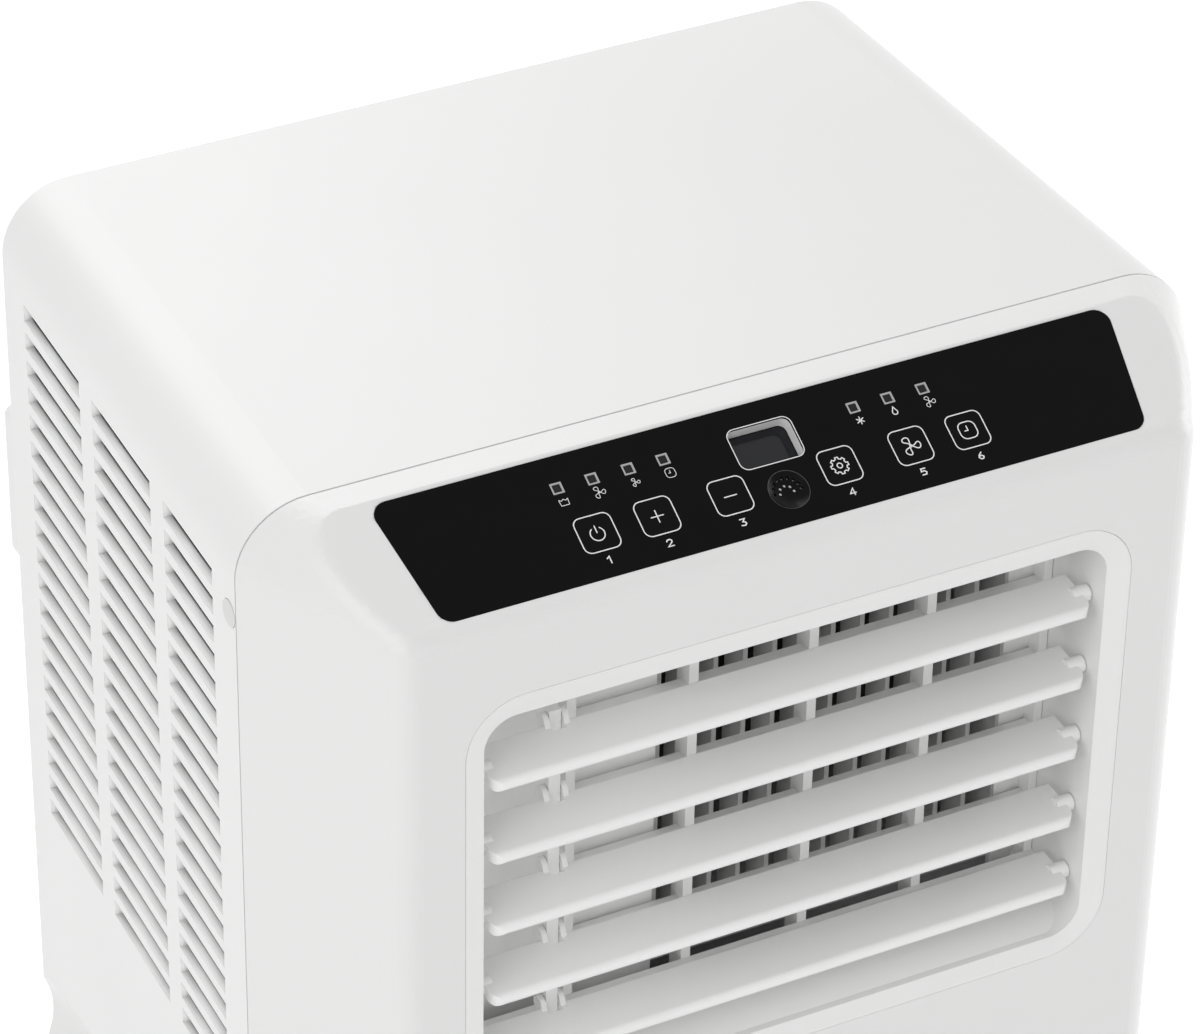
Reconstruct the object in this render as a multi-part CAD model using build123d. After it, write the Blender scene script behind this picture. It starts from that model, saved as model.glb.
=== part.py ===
from build123d import *
import os
from math import atan2, cos, degrees, hypot, radians, sin, tan

# Portable air conditioner, upright cabinet on castors.
# Millimetres, +Z up, front faces -Y, +X is the viewer's right.
# The origin is on the floor, under the middle of the overall box.

# Cabinet
WIDTH = 330.0
REAR_TAPER = 6.5
FRONT_CHAMFER = 29.0
HEIGHT = 680.0
HOUSING_DEPTH = 203.0
FRONT_DEPTH = 55.0
REAR_REACH = 22.0
GROUND_GAP = 26.0
BASE_HEIGHT = 18.0
HOUSING_WALL = 3.0
TONGUE_ROOT = 0.6
CORNER_RADIUS = 24.0
REAR_EDGE_RADIUS = 2.5
SEAM_GAP = 0.7
SLIP = 0.3
CLOSE_GAP = 0.15
TONGUE = 6.0
TONGUE_WALL = 1.8

# Side inlet grilles, measured from the seam and from the top
SLOT_FRONT = 19.2
SLOT_REAR_MARGIN = 21.2
SLOT_COLUMNS = 3
SLOT_FIRST_SHORTER = 10.0
SLOT_RIB = 11.3
SLOT_TOP_DROP = 31.2
SLOT_COUNT = 20
SLOT_PITCH = 10.52
SLOT_HEIGHT = 6.4
GRILLE_PAD = 0.4
GRILLE_MARGIN = 6.0

# Hand scoops in the side walls
SCOOP_DROP = 340.0
SCOOP_DEPTH = 14.0
SCOOP_PROFILE_RADIUS = 33.0
SCOOP_PLAN_RADIUS = 276.0
SCOOP_FROM_REAR = 66.5

# Screw caps beside the seam
CAP_RADIUS = 4.5
CAP_SEAT = 1.6
CAP_PROUD = 0.3
CAP_FROM_SEAM = 5.5
CAP_DROP = 38.5
CAP_RISE = 76.0

# Front panel and its sloped control face
TOP_STRIP = 10.4
SLOPE_DROP = 23.5
FOLD_RADIUS = 9.0
FRONT_EDGE_RADIUS = 9.0
FILM_START = 1.5
FILM_FOLD_MARGIN = 5.6
FILM_SIDE_MARGIN = 8.6
FILM_SIDE_LEAN = 6.9
FILM_CORNER = 5.0
FILM_THICKNESS = 0.8
FILM_PROUD = 0.15

# Keys, lamps, display and sounder, placed down the slope from the film's top edge
KEY_NAMES = ("power", "plus", "minus", "mode", "speed", "timer")
KEY_OUTER_X = 63.7
KEY_MIDDLE_X = 43.6
KEY_INNER_X = 18.8
KEY_DOWN = 28.3
KEY_SIZE = 12.5
KEY_CORNER = 2.6
KEY_THICKNESS = 1.8
KEY_TRAVEL = 0.4
KEY_GUIDE_GAP = 0.4
KEY_STEM_RADIUS = 1.9
LAMP_LEFT_X = (-69.3, -57.6, -45.4, -33.7)
LAMP_RIGHT_X = (31.8, 43.9, 56.1)
LAMP_DOWN = 10.7
LAMP_WINDOW = 4.0
LAMP_SIZE = 3.2
LAMP_SUNK = 3.2
DISPLAY_X = -0.4
DISPLAY_DOWN = 14.5
DISPLAY_WIDTH = 21.6
DISPLAY_HEIGHT = 14.0
DISPLAY_CORNER = 2.6
DISPLAY_SUNK = 5.0
WELL_WALL = 1.2
SOUNDER_X = -0.2
SOUNDER_DOWN = 31.4
SOUNDER_RADIUS = 6.7
SOUNDER_THICKNESS = 2.0
SOUNDER_HOLE = 0.55
SOUNDER_RINGS = ((2.4, 5), (4.6, 9))
BOARD_DEPTH = 11.0
BOARD_THICKNESS = 1.6
BOARD_WIDTH = 160.0
BOARD_HEIGHT = 36.0
POST_RADIUS = 3.5
POST_INSET = 5.0
SWITCH_SIZE = 6.0
SWITCH_HEIGHT = 3.5
SWITCH_BUTTON = 1.0
SWITCH_BUTTON_RADIUS = 1.7

# Air outlet
OUTLET_DROP = 59.5
OUTLET_HEIGHT = 154.0
OUTLET_SIDE_MARGIN = 27.5
OUTLET_CORNER = 11.0
FLANGE_SIDE = 7.3
FLANGE_ABOVE = 9.0
FLANGE_BELOW = 5.5
FLANGE_CORNER = 20.0
FLANGE_EDGE = 0.8
DISH_DEPTH = 2.7
FRAME_WALL = 2.5
FRAME_LIP = 6.0
FRAME_LIP_THICKNESS = 2.0
FLOOR_RISE = 12.0
GUARD_SETBACK = 32.9
GUARD_DEPTH = 8.0
GUARD_SIDE = 2.0
GUARD_RIM = 3.0
GUARD_RIB_COUNT = 4
GUARD_RIB = 3.3
GUARD_BAR_DROP = 93.0
GUARD_BAR_PITCH = 28.5
GUARD_BAR_COUNT = 4
GUARD_BAR = 2.2
GUARD_BAR_DEPTH = 5.0
GUARD_WALL = 2.0

# Louvre blades and their link
LOUVRE_COUNT = 5
LOUVRE_PITCH = 27.7
LOUVRE_DROP = 84.2
LOUVRE_SETBACK = 12.0
LOUVRE_END_GAP = 3.6
LOUVRE_TILT = 9.0
NOSE_RADIUS = 2.2
NOSE_REACH = 7.3
TAIL_RADIUS = 1.0
TAIL_REACH = 8.5
BLADE_CORNER = 5.0
PIN_RADIUS = 2.0
PIN_CLEARANCE = 0.1
BOSS_RADIUS = 2.8
BOSS_GAP = 0.5
BOSS_LENGTH = 3.0
LINK_FROM_END = 29.4
LINK_WIDTH = 4.0
LINK_DEPTH = 3.2
LINK_ARM = 11.0
LINK_RISE = 1.2
LINK_PIN_RADIUS = 1.2
LINK_OVERHANG = 4.0
LINK_GAP = 0.4
EAR_THICKNESS = 1.8
EAR_RADIUS = 2.8
EAR_ROOT = 8.0
NOTCH_DEPTH = 5.0

# Blower behind the outlet
SCROLL_LEFT = -31.0
SCROLL_SIDE_MARGIN = 10.3
SCROLL_WALL = 2.5
SCROLL_FRONT_GAP = 11.1
SCROLL_REAR_GAP = 3.0
SCROLL_DROP = 142.0
SCROLL_OFFSET = 8.0
MOUTH_MARGIN = 8.0
VANE_PITCH = 10.5
VANE_THICKNESS = 1.6
VANE_DEPTH = 12.0
INLET_MARGIN = 12.0
WHEEL_TO_SCROLL = 14.0
WHEEL_SIDE_GAP = 6.0
CAGE_BLADES = 30
CAGE_BLADE_DEPTH = 11.0
CAGE_BLADE_THICKNESS = 1.2
CAGE_BLADE_ANGLE = 28.0
CAGE_RING = 3.0
HUB_RADIUS = 11.0
HUB_LENGTH = 20.0
SHAFT_RADIUS = 4.0
SHAFT_FIT = 0.05
MOTOR_RADIUS = 42.0
MOTOR_LENGTH = 58.0
MOTOR_BOSS = 14.0
MOTOR_FLANGE = 4.0
MOTOR_FOOT_RADIUS = 5.0
MOTOR_FOOT_CIRCLE = 34.0
MOTOR_FOOT_LENGTH = 8.0

# Coils
COIL_DEPTH = 30.0
FIN_PITCH = 11.0
FIN_GROOVE = 4.0
FIN_GROOVE_DEPTH = 4.0
END_PLATE = 1.5
BEND_RADIUS = 11.0
BEND_TUBE = 4.0
BEND_COUNT = 3
EVAPORATOR_SIDE_MARGIN = 23.0
EVAPORATOR_HEIGHT = 190.0
CONDENSER_SIDE_MARGIN = 28.0
CONDENSER_TOP_GAP = 19.0
COIL_REAR_GAP = 10.0

# Rear side
REAR_SETBACK = 2.0
REAR_WALL = 3.0
FILTER_SIDE_MARGIN = 13.0
FILTER_HEIGHT = 182.0
FILTER_DROP = 119.0
FILTER_DEPTH = 8.0
FILTER_RIM = 9.0
FILTER_RIB = 3.0
FILTER_COLUMNS = 6
FILTER_ROWS = 4
FILTER_CORNER = 8.0
NET_THICKNESS = 1.0
TAB_HEIGHT = 60.0
TAB_REACH = 11.0
TAB_PROUD = 10.0
TAB_CORNER = 4.0
INTAKE_MARGIN = 12.0
INTAKE_BARS = 4
INTAKE_BAR = 4.0
REAR_SLOT_RISE = 17.0
REAR_SLOT_PITCH = 11.0
REAR_SLOT_HEIGHT = 6.0
REAR_SLOT_INSET = 12.0
REAR_SLOT_RIB = 12.0
REAR_SLOT_COLUMNS = 3
COLLAR_TOP_MARGIN = 12.0
COLLAR_RADIUS = 62.0
COLLAR_WALL = 3.0
COLLAR_FLANGE = 10.0
COLLAR_FLANGE_THICKNESS = 3.0
COLLAR_BEAD = 1.5
GLAND_SIDE_MARGIN = 35.0
GLAND_DROP = 45.0
GLAND_RADIUS = 9.0
GLAND_BORE = 4.5
GLAND_PROUD = 6.0
GLAND_LIP = 3.0
GLAND_LIP_THICKNESS = 2.0

# Lower half
UPPER_HEIGHT = 268.0
BULKHEAD_THICKNESS = 4.0
BULKHEAD_RIM = 12.0
BULKHEAD_RIM_WALL = 3.0
BULKHEAD_PASS = 20.0
BULKHEAD_PASS_MARGIN = 8.0
COMPRESSOR_SIDE_MARGIN = 13.0
COMPRESSOR_FAN_GAP = 24.0
COMPRESSOR_COIL_GAP = 19.5
COMPRESSOR_TOP_GAP = 6.0
COMPRESSOR_DOME = 22.0
COMPRESSOR_FOOT = 3.0
COMPRESSOR_FOOT_REACH = 8.0
GROMMET_RADIUS = 10.0
GROMMET_HEIGHT = 14.0
PILLAR_HEIGHT = 21.0
ACCUMULATOR_RADIUS = 24.0
ACCUMULATOR_HEIGHT = 110.0
ACCUMULATOR_GAP = 6.0
ACCUMULATOR_END = 8.0
ACCUMULATOR_LIFT = 70.0
STRAP_THICKNESS = 2.0
STRAP_HEIGHT = 16.0
FAN_SIDE_MARGIN = 19.0
FAN_DROP = 90.0
FAN_TO_SCROLL = 16.0
FAN_SCROLL_RADIUS = 76.0
FAN_SCROLL_OFFSET = 8.0
FAN_MOTOR_ROOM = 12.0
FAN_SCROLL_DEPTH = 66.0
FAN_MOUTH_LEFT_REACH = 90.0
FAN_MOUTH_RIGHT_REACH = 50.0
DUCT_SIDE_MARGIN = 8.0
DUCT_WALL = 2.5
BOX_SIDE_MARGIN = 17.0
BOX_MOTOR_GAP = 16.0
BOX_DEPTH = 90.0
BOX_HEIGHT = 120.0
BOX_WALL = 2.0
BOX_LID = 2.5
PIPE_RADIUS = 4.0
PIPE_WALL = 1.0
PIPE_BEND = 18.0

# Base pan and castors
FLOOR_WALL = 3.0
BASE_TONGUE = 8.0
CASTOR_SIDE_MARGIN = 52.0
CASTOR_FROM_FRONT = 52.0
CASTOR_FROM_REAR = 46.0
WHEEL_TREAD_RADIUS = 18.0
WHEEL_WIDTH = 8.0
WHEEL_EDGE = 1.5
TRAIL = 11.0
WEB_THICKNESS = 5.0
WEB_RADIUS = 7.0
WEB_GAP = 0.6
AXLE_RADIUS = 2.5
AXLE_CLEARANCE = 0.1
HOOD_GAP = 1.5
HOOD_WALL = 2.0
SWIVEL_DISC_RADIUS = 11.0
SWIVEL_DISC = 3.0
POCKET_MARGIN = 3.5
POCKET_ROOF = 3.0
POCKET_GAP = 0.5
STEM_RADIUS = 5.0
STEM_LENGTH = 15.0
STEM_CLEARANCE = 0.1
STEM_BOSS = 4.0
SPOUT_X = 60.0
SPOUT_RADIUS = 6.0
SPOUT_WALL = 2.0
SPOUT_LENGTH = 12.0
PLUG_LENGTH = 9.0
PLUG_FIT = 0.1
PLUG_HEAD = 4.0

# Places that follow from the sizes above
HALF = WIDTH / 2
REAR_HALF = HALF - REAR_TAPER
FRONT_HALF = HALF - FRONT_CHAMFER
FRONT_Y = -(FRONT_DEPTH + HOUSING_DEPTH + REAR_REACH) / 2
SEAM_Y = FRONT_Y + FRONT_DEPTH
REAR_Y = SEAM_Y + HOUSING_DEPTH
BASE_TOP = GROUND_GAP + BASE_HEIGHT
FLOOR_TOP = GROUND_GAP + FLOOR_WALL
PANEL_WALL = HOUSING_WALL + TONGUE_ROOT
BACK_INSIDE = REAR_Y - REAR_SETBACK - REAR_WALL
CREASE_Y = SEAM_Y - TOP_STRIP
FILM_SLANT = hypot(SLOPE_DROP, FRONT_DEPTH - TOP_STRIP) - FILM_START - FILM_FOLD_MARGIN
SLOPE_ANGLE = degrees(atan2(SLOPE_DROP, FRONT_DEPTH - TOP_STRIP))
CHAMFER_ANGLE = degrees(atan2(FRONT_CHAMFER, FRONT_DEPTH))
SLOPE = Plane(
    origin=(0, CREASE_Y, HEIGHT),
    x_dir=(1, 0, 0),
    z_dir=(0, -sin(radians(SLOPE_ANGLE)), cos(radians(SLOPE_ANGLE))),
)
KEY_X = (-KEY_OUTER_X, -KEY_MIDDLE_X, -KEY_INNER_X, KEY_INNER_X, KEY_MIDDLE_X, KEY_OUTER_X)
LAMP_X = LAMP_LEFT_X + LAMP_RIGHT_X
OUTLET_WIDTH = 2 * (FRONT_HALF - OUTLET_SIDE_MARGIN)
OUTLET_TOP = HEIGHT - OUTLET_DROP
OUTLET_BOTTOM = OUTLET_TOP - OUTLET_HEIGHT
GUARD_Y = FRONT_Y + GUARD_SETBACK
GUARD_BACK = GUARD_Y + GUARD_DEPTH
LOUVRE_LENGTH = OUTLET_WIDTH - 2 * LOUVRE_END_GAP
LINK_X = LINK_FROM_END - LOUVRE_LENGTH / 2
PIVOT_Y = FRONT_Y + LOUVRE_SETBACK
PIVOT_Z = [HEIGHT - LOUVRE_DROP - i * LOUVRE_PITCH for i in range(LOUVRE_COUNT)]
COIL_Y = BACK_INSIDE - COIL_REAR_GAP - COIL_DEPTH
SCROLL_RIGHT = OUTLET_WIDTH / 2 - SCROLL_SIDE_MARGIN
SCROLL_RADIUS = (COIL_Y - SCROLL_REAR_GAP - GUARD_BACK - SCROLL_FRONT_GAP) / 2
WHEEL_RADIUS = SCROLL_RADIUS - WHEEL_TO_SCROLL
INLET_RADIUS = WHEEL_RADIUS - INLET_MARGIN
BLOWER_Y = GUARD_BACK + SCROLL_FRONT_GAP + SCROLL_RADIUS - SCROLL_OFFSET
BLOWER_Z = HEIGHT - SCROLL_DROP
WHEEL_Z = WHEEL_TREAD_RADIUS
HOOD_RADIUS = WHEEL_TREAD_RADIUS + HOOD_GAP + HOOD_WALL
SWIVEL_TOP = WHEEL_Z + HOOD_RADIUS + SWIVEL_DISC
POCKET_TOP = SWIVEL_TOP + POCKET_GAP
POCKET_RADIUS = TRAIL + HOOD_RADIUS + POCKET_MARGIN
STEM_BOSS_TOP = POCKET_TOP + STEM_LENGTH + POCKET_ROOF
CASTOR_X = HALF - CASTOR_SIDE_MARGIN
BULKHEAD_Z = HEIGHT - UPPER_HEIGHT
EVAPORATOR_Z = BULKHEAD_Z + BULKHEAD_THICKNESS
EVAPORATOR_WIDTH = 2 * (REAR_HALF - EVAPORATOR_SIDE_MARGIN)
FILTER_WIDTH = 2 * (REAR_HALF - FILTER_SIDE_MARGIN)
FILTER_Z = HEIGHT - FILTER_DROP
COLLAR_OUTER = COLLAR_RADIUS + COLLAR_WALL
COLLAR_Z = BULKHEAD_Z - COLLAR_TOP_MARGIN - COLLAR_OUTER
GLAND_X = REAR_HALF - GLAND_SIDE_MARGIN
GLAND_Z = COLLAR_Z - GLAND_DROP
FAN_FRONT = FRONT_Y + PANEL_WALL + FAN_MOTOR_ROOM + MOTOR_LENGTH + MOTOR_FOOT_LENGTH
FAN_BACK = FAN_FRONT + FAN_SCROLL_DEPTH
FAN_X = HALF - FAN_SIDE_MARGIN - FAN_SCROLL_RADIUS
FAN_RADIUS = FAN_SCROLL_RADIUS - FAN_TO_SCROLL
FAN_MOUTH_TOP = COLLAR_Z - COLLAR_OUTER
FAN_MOUTH_LEFT = FAN_X - FAN_MOUTH_LEFT_REACH
FAN_MOUTH_RIGHT = FAN_X + FAN_MOUTH_RIGHT_REACH
FAN_Z = FAN_MOUTH_TOP - FAN_DROP
DUCT_LEFT = -COLLAR_RADIUS - DUCT_SIDE_MARGIN
CONDENSER_WIDTH = 2 * (REAR_HALF - CONDENSER_SIDE_MARGIN)
CONDENSER_HEIGHT = FAN_MOUTH_TOP - CONDENSER_TOP_GAP - STEM_BOSS_TOP
REAR_SLOT_BOTTOM = STEM_BOSS_TOP + REAR_SLOT_RISE
REAR_SLOT_ROOM = CONDENSER_HEIGHT - REAR_SLOT_RISE + REAR_SLOT_PITCH - REAR_SLOT_HEIGHT
REAR_SLOT_COUNT = int(REAR_SLOT_ROOM / REAR_SLOT_PITCH)
REAR_SLOT_SPAN = CONDENSER_WIDTH - 2 * REAR_SLOT_INSET - REAR_SLOT_RIB * (REAR_SLOT_COLUMNS - 1)
REAR_SLOT_LENGTH = REAR_SLOT_SPAN / REAR_SLOT_COLUMNS
BULKHEAD_FRONT = SEAM_Y - FRONT_DEPTH / 2
ACCUMULATOR_Y = BULKHEAD_FRONT + BULKHEAD_PASS_MARGIN + BULKHEAD_PASS
COMPRESSOR_LEFT = COMPRESSOR_SIDE_MARGIN - HALF
COMPRESSOR_RIGHT = FAN_MOUTH_LEFT - COMPRESSOR_FAN_GAP
COMPRESSOR_FRONT = ACCUMULATOR_Y + ACCUMULATOR_RADIUS + ACCUMULATOR_GAP
COMPRESSOR_BACK = COIL_Y - COMPRESSOR_COIL_GAP
COMPRESSOR_RADIUS = min(COMPRESSOR_RIGHT - COMPRESSOR_LEFT, COMPRESSOR_BACK - COMPRESSOR_FRONT) / 2
COMPRESSOR_X = (COMPRESSOR_LEFT + COMPRESSOR_RIGHT) / 2
COMPRESSOR_Y = COMPRESSOR_FRONT + COMPRESSOR_RADIUS
COMPRESSOR_FOOT_CIRCLE = COMPRESSOR_RADIUS + COMPRESSOR_FOOT_REACH
PILLAR_TOP = FLOOR_TOP + PILLAR_HEIGHT
COMPRESSOR_Z = PILLAR_TOP + GROMMET_HEIGHT
COMPRESSOR_HEIGHT = FAN_MOUTH_TOP - COMPRESSOR_TOP_GAP - COMPRESSOR_Z
CASTORS = {
    "front_left": (-CASTOR_X, FRONT_Y + CASTOR_FROM_FRONT),
    "front_right": (CASTOR_X, FRONT_Y + CASTOR_FROM_FRONT),
    "rear_left": (-CASTOR_X, REAR_Y - CASTOR_FROM_REAR),
    "rear_right": (CASTOR_X, REAR_Y - CASTOR_FROM_REAR),
}


# Shapes that several pieces share
def block(x0, x1, y0, y1, z0, z1):
    """Box between two corners."""
    return Pos((x0 + x1) / 2, (y0 + y1) / 2, (z0 + z1) / 2) * Box(x1 - x0, y1 - y0, z1 - z0)


def bar(start, end, radius):
    """Round bar between two points."""
    run = Vector(*end) - Vector(*start)
    return Part() + Solid.make_cylinder(radius, run.length, Plane(origin=start, z_dir=run))


def upright(y):
    """Plane across the cabinet at depth y: its x is the cabinet's X, its y is Z."""
    return Plane(origin=(0, y, 0), x_dir=(1, 0, 0), z_dir=(0, -1, 0))


def sideways(x):
    """Plane along the cabinet at x: its x is the cabinet's Y, its y is Z."""
    return Plane(origin=(x, 0, 0), x_dir=(0, 1, 0), z_dir=(1, 0, 0))


def arch(y, half_width, top, bottom, radius):
    """Cross-section of the cabinet at depth y, with two round upper corners."""
    face = Pos(0, (top + bottom) / 2) * Rectangle(2 * half_width, top - bottom)
    face = fillet(face.vertices().group_by(Axis.Y)[-1], radius)
    return (upright(y) * face).face()


def window(half_width, bottom, top, radius, y0, y1):
    """Round-cornered block from y0 back to y1."""
    face = Pos(0, (bottom + top) / 2) * RectangleRounded(2 * half_width, top - bottom, radius)
    return extrude(upright(y1) * face, y1 - y0)


def half_at(y):
    """Half width of the housing at depth y."""
    return HALF + (REAR_HALF - HALF) * (y - SEAM_Y) / HOUSING_DEPTH


def arch_form(y0, half0, y1, half1, low, inset):
    """Solid with sides that run straight from half0 at y0 to half1 at y1, under a round-cornered top."""
    top = HEIGHT - inset
    prisms = []
    for side in (-1, 1):
        face = Pos(side * (half1 - WIDTH), (top + low) / 2) * Rectangle(2 * WIDTH, top - low)
        corner = [v for v in face.vertices().group_by(Axis.Y)[-1] if v.X * side > 0]
        face = fillet(corner, CORNER_RADIUS - inset)
        run = Vector(side * (half0 - half1), y0 - y1, 0)
        prisms.append(extrude(upright(y1) * face, run.length, dir=run))
    return prisms[0] & prisms[1]


def housing_form(inset, y0, y1, low):
    """Solid of the housing's outside, or of its room when inset by the wall."""
    return arch_form(y0, half_at(y0) - inset, y1, half_at(y1) - inset, low, inset)


def scoops(grow):
    """Both hand scoops, as ring-shaped cutters grown by a wall."""
    reach = half_at(REAR_Y - SCOOP_FROM_REAR) - SCOOP_DEPTH + SCOOP_PLAN_RADIUS
    ring = Torus(SCOOP_PLAN_RADIUS - SCOOP_PROFILE_RADIUS, SCOOP_PROFILE_RADIUS + grow)
    y = REAR_Y - SCOOP_FROM_REAR
    return [Pos(side * reach, y, HEIGHT - SCOOP_DROP) * ring for side in (-1, 1)]


def footprint(inset, z, height):
    """Plan outline of the cabinet, inset, raised from z by a height."""
    corners = [(FRONT_HALF, FRONT_Y), (HALF, SEAM_Y), (REAR_HALF, REAR_Y)]
    mirrored = [(-x, y) for x, y in reversed(corners)]
    outline = Polygon(*corners, *mirrored, align=None)
    outline = fillet(outline.vertices().group_by(Axis.Y)[0], FRONT_EDGE_RADIUS)
    if inset:
        outline = offset(outline, -inset)
    return extrude(Pos(0, 0, z) * outline, height)


def on_slope(sketch, x, down, depth0, depth1):
    """Prism on the control face, from depth0 down to depth1 under its surface."""
    start = FILM_START + down
    return extrude(SLOPE.location * Pos(x, -start, -depth1) * sketch, depth1 - depth0)


def wrap_housing():
    outside = housing_form(0, SEAM_Y + SEAM_GAP, REAR_Y, BASE_TOP)
    back_edges = outside.faces().sort_by(Axis.Y)[-1].edges().filter_by(lambda e: e.center().Z > BASE_TOP + 1)
    outside = fillet(back_edges, REAR_EDGE_RADIUS)
    room = housing_form(HOUSING_WALL, SEAM_Y, REAR_Y + 1, BASE_TOP - 1)
    thick = housing_form(HOUSING_WALL + GRILLE_PAD, SEAM_Y, REAR_Y + 1, BASE_TOP - 1)
    slot_bottom = HEIGHT - SLOT_TOP_DROP - (SLOT_COUNT - 1) * SLOT_PITCH - SLOT_HEIGHT
    pads = (room - thick) & block(
        -HALF, HALF,
        SEAM_Y + SLOT_FRONT - GRILLE_MARGIN, REAR_Y - SLOT_REAR_MARGIN + GRILLE_MARGIN,
        slot_bottom - GRILLE_MARGIN, HEIGHT - SLOT_TOP_DROP + GRILLE_MARGIN,
    )
    shell = outside - scoops(0) - (room - scoops(HOUSING_WALL)) + pads
    slots = []
    y = SEAM_Y + SLOT_FRONT
    span = HOUSING_DEPTH - SLOT_FRONT - SLOT_REAR_MARGIN - SLOT_RIB * (SLOT_COLUMNS - 1)
    full = (span + SLOT_FIRST_SHORTER) / SLOT_COLUMNS
    for length in [full - SLOT_FIRST_SHORTER] + [full] * (SLOT_COLUMNS - 1):
        for row in range(SLOT_COUNT):
            top = HEIGHT - SLOT_TOP_DROP - row * SLOT_PITCH
            slots.append(block(-HALF, HALF, y, y + length, top - SLOT_HEIGHT, top))
        y += length + SLOT_RIB
    seats = []
    for side in (-1, 1):
        for z in (HEIGHT - CAP_DROP, BASE_TOP + CAP_RISE):
            start = (side * (half_at(SEAM_Y + CAP_FROM_SEAM) - CAP_SEAT), SEAM_Y + CAP_FROM_SEAM, z)
            end = (side * (HALF + 1), SEAM_Y + CAP_FROM_SEAM, z)
            seats.append(bar(start, end, CAP_RADIUS + CLOSE_GAP))
    return shell - slots - seats


def screw_caps():
    caps = []
    for side in (-1, 1):
        for z in (HEIGHT - CAP_DROP, BASE_TOP + CAP_RISE):
            wall = half_at(SEAM_Y + CAP_FROM_SEAM)
            start = (side * (wall - CAP_SEAT), SEAM_Y + CAP_FROM_SEAM, z)
            end = (side * (wall + CAP_PROUD), SEAM_Y + CAP_FROM_SEAM, z)
            caps.append(bar(start, end, CAP_RADIUS))
    return caps


def panel_form(inset, extra):
    """Solid of the front panel's outside, or of its room: inset by the wall, run past its open sides."""
    slope = radians(SLOPE_ANGLE)
    chamfer = radians(CHAMFER_ANGLE)
    back = SEAM_Y + extra
    low = BASE_TOP - extra
    top = HEIGHT - inset
    front = FRONT_Y + inset
    fold = HEIGHT + (front - CREASE_Y) * tan(slope) - inset / cos(slope)
    crease = CREASE_Y + inset * tan(slope / 2)
    profile = Polygon((back, low), (back, top), (crease, top), (front, fold), (front, low), align=None)
    soft = [v for v in profile.vertices() if v.X < front + 1 and v.Y > fold - 1]
    profile = fillet(soft, FOLD_RADIUS - inset)
    half0 = FRONT_HALF + (inset * sin(chamfer) - inset) / cos(chamfer)
    half1 = half0 + (back - front) * tan(chamfer)
    form = arch_form(front, half0, back, half1, low, inset)
    form &= extrude(sideways(-HALF) * profile, WIDTH)
    return form & footprint(inset, low, top - low)


def front_panel():
    shell = panel_form(0, 0) - panel_form(PANEL_WALL, 1)
    tongue_inset = HOUSING_WALL + SLIP
    rings = []
    for inset in (tongue_inset, tongue_inset + TONGUE_WALL):
        low = BASE_TOP + BASE_TONGUE + TONGUE - (1 if inset > tongue_inset else 0)
        section = arch(SEAM_Y + SEAM_GAP + TONGUE, HALF - inset, HEIGHT - inset, low, CORNER_RADIUS - inset)
        rings.append(extrude(section, SEAM_GAP + 2 * TONGUE - TONGUE_WALL))
    shell += rings[0] - rings[1]
    shell -= window(
        OUTLET_WIDTH / 2 + FLANGE_SIDE + CLOSE_GAP,
        OUTLET_BOTTOM - FLANGE_BELOW - CLOSE_GAP,
        OUTLET_TOP + FLANGE_ABOVE + CLOSE_GAP,
        FLANGE_CORNER + CLOSE_GAP,
        FRONT_Y - 1, FRONT_Y + 2 * PANEL_WALL,
    )
    shell -= on_slope(offset(film_outline(), CLOSE_GAP), 0, 0, -1, FILM_THICKNESS - FILM_PROUD)
    lamp_well = Rectangle(LAMP_WINDOW + 2 * WELL_WALL, LAMP_WINDOW + 2 * WELL_WALL)
    display_well = Rectangle(DISPLAY_WIDTH + 2 * WELL_WALL, DISPLAY_HEIGHT + 2 * WELL_WALL)
    for x in LAMP_X:
        shell += on_slope(lamp_well, x, LAMP_DOWN, PANEL_WALL - 1, LAMP_SUNK + WELL_WALL)
    shell += on_slope(display_well, DISPLAY_X, DISPLAY_DOWN, PANEL_WALL - 1, DISPLAY_SUNK)
    for x, down in post_places():
        shell += on_slope(Circle(POST_RADIUS), x, down, PANEL_WALL - 1, BOARD_DEPTH)
    key_hole = KEY_SIZE + 2 * KEY_GUIDE_GAP
    for x in KEY_X:
        shell -= on_slope(RectangleRounded(key_hole, key_hole, KEY_CORNER), x, KEY_DOWN, -1, BOARD_DEPTH)
    for x in LAMP_X:
        shell -= on_slope(Rectangle(LAMP_WINDOW, LAMP_WINDOW), x, LAMP_DOWN, -1, BOARD_DEPTH)
    opening = RectangleRounded(DISPLAY_WIDTH, DISPLAY_HEIGHT, DISPLAY_CORNER)
    shell -= on_slope(opening, DISPLAY_X, DISPLAY_DOWN, -1, BOARD_DEPTH)
    shell -= on_slope(Circle(SOUNDER_RADIUS + CLOSE_GAP), SOUNDER_X, SOUNDER_DOWN, -1, SOUNDER_THICKNESS)
    return shell


def film_outline():
    """Trapezium of the control film, in the slope's own plane below its top edge."""
    top = FRONT_HALF - FILM_SIDE_MARGIN
    low = top - FILM_SIDE_LEAN
    face = Polygon((-top, 0), (-low, -FILM_SLANT), (low, -FILM_SLANT), (top, 0), align=None)
    return fillet(face.vertices(), FILM_CORNER)


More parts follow.
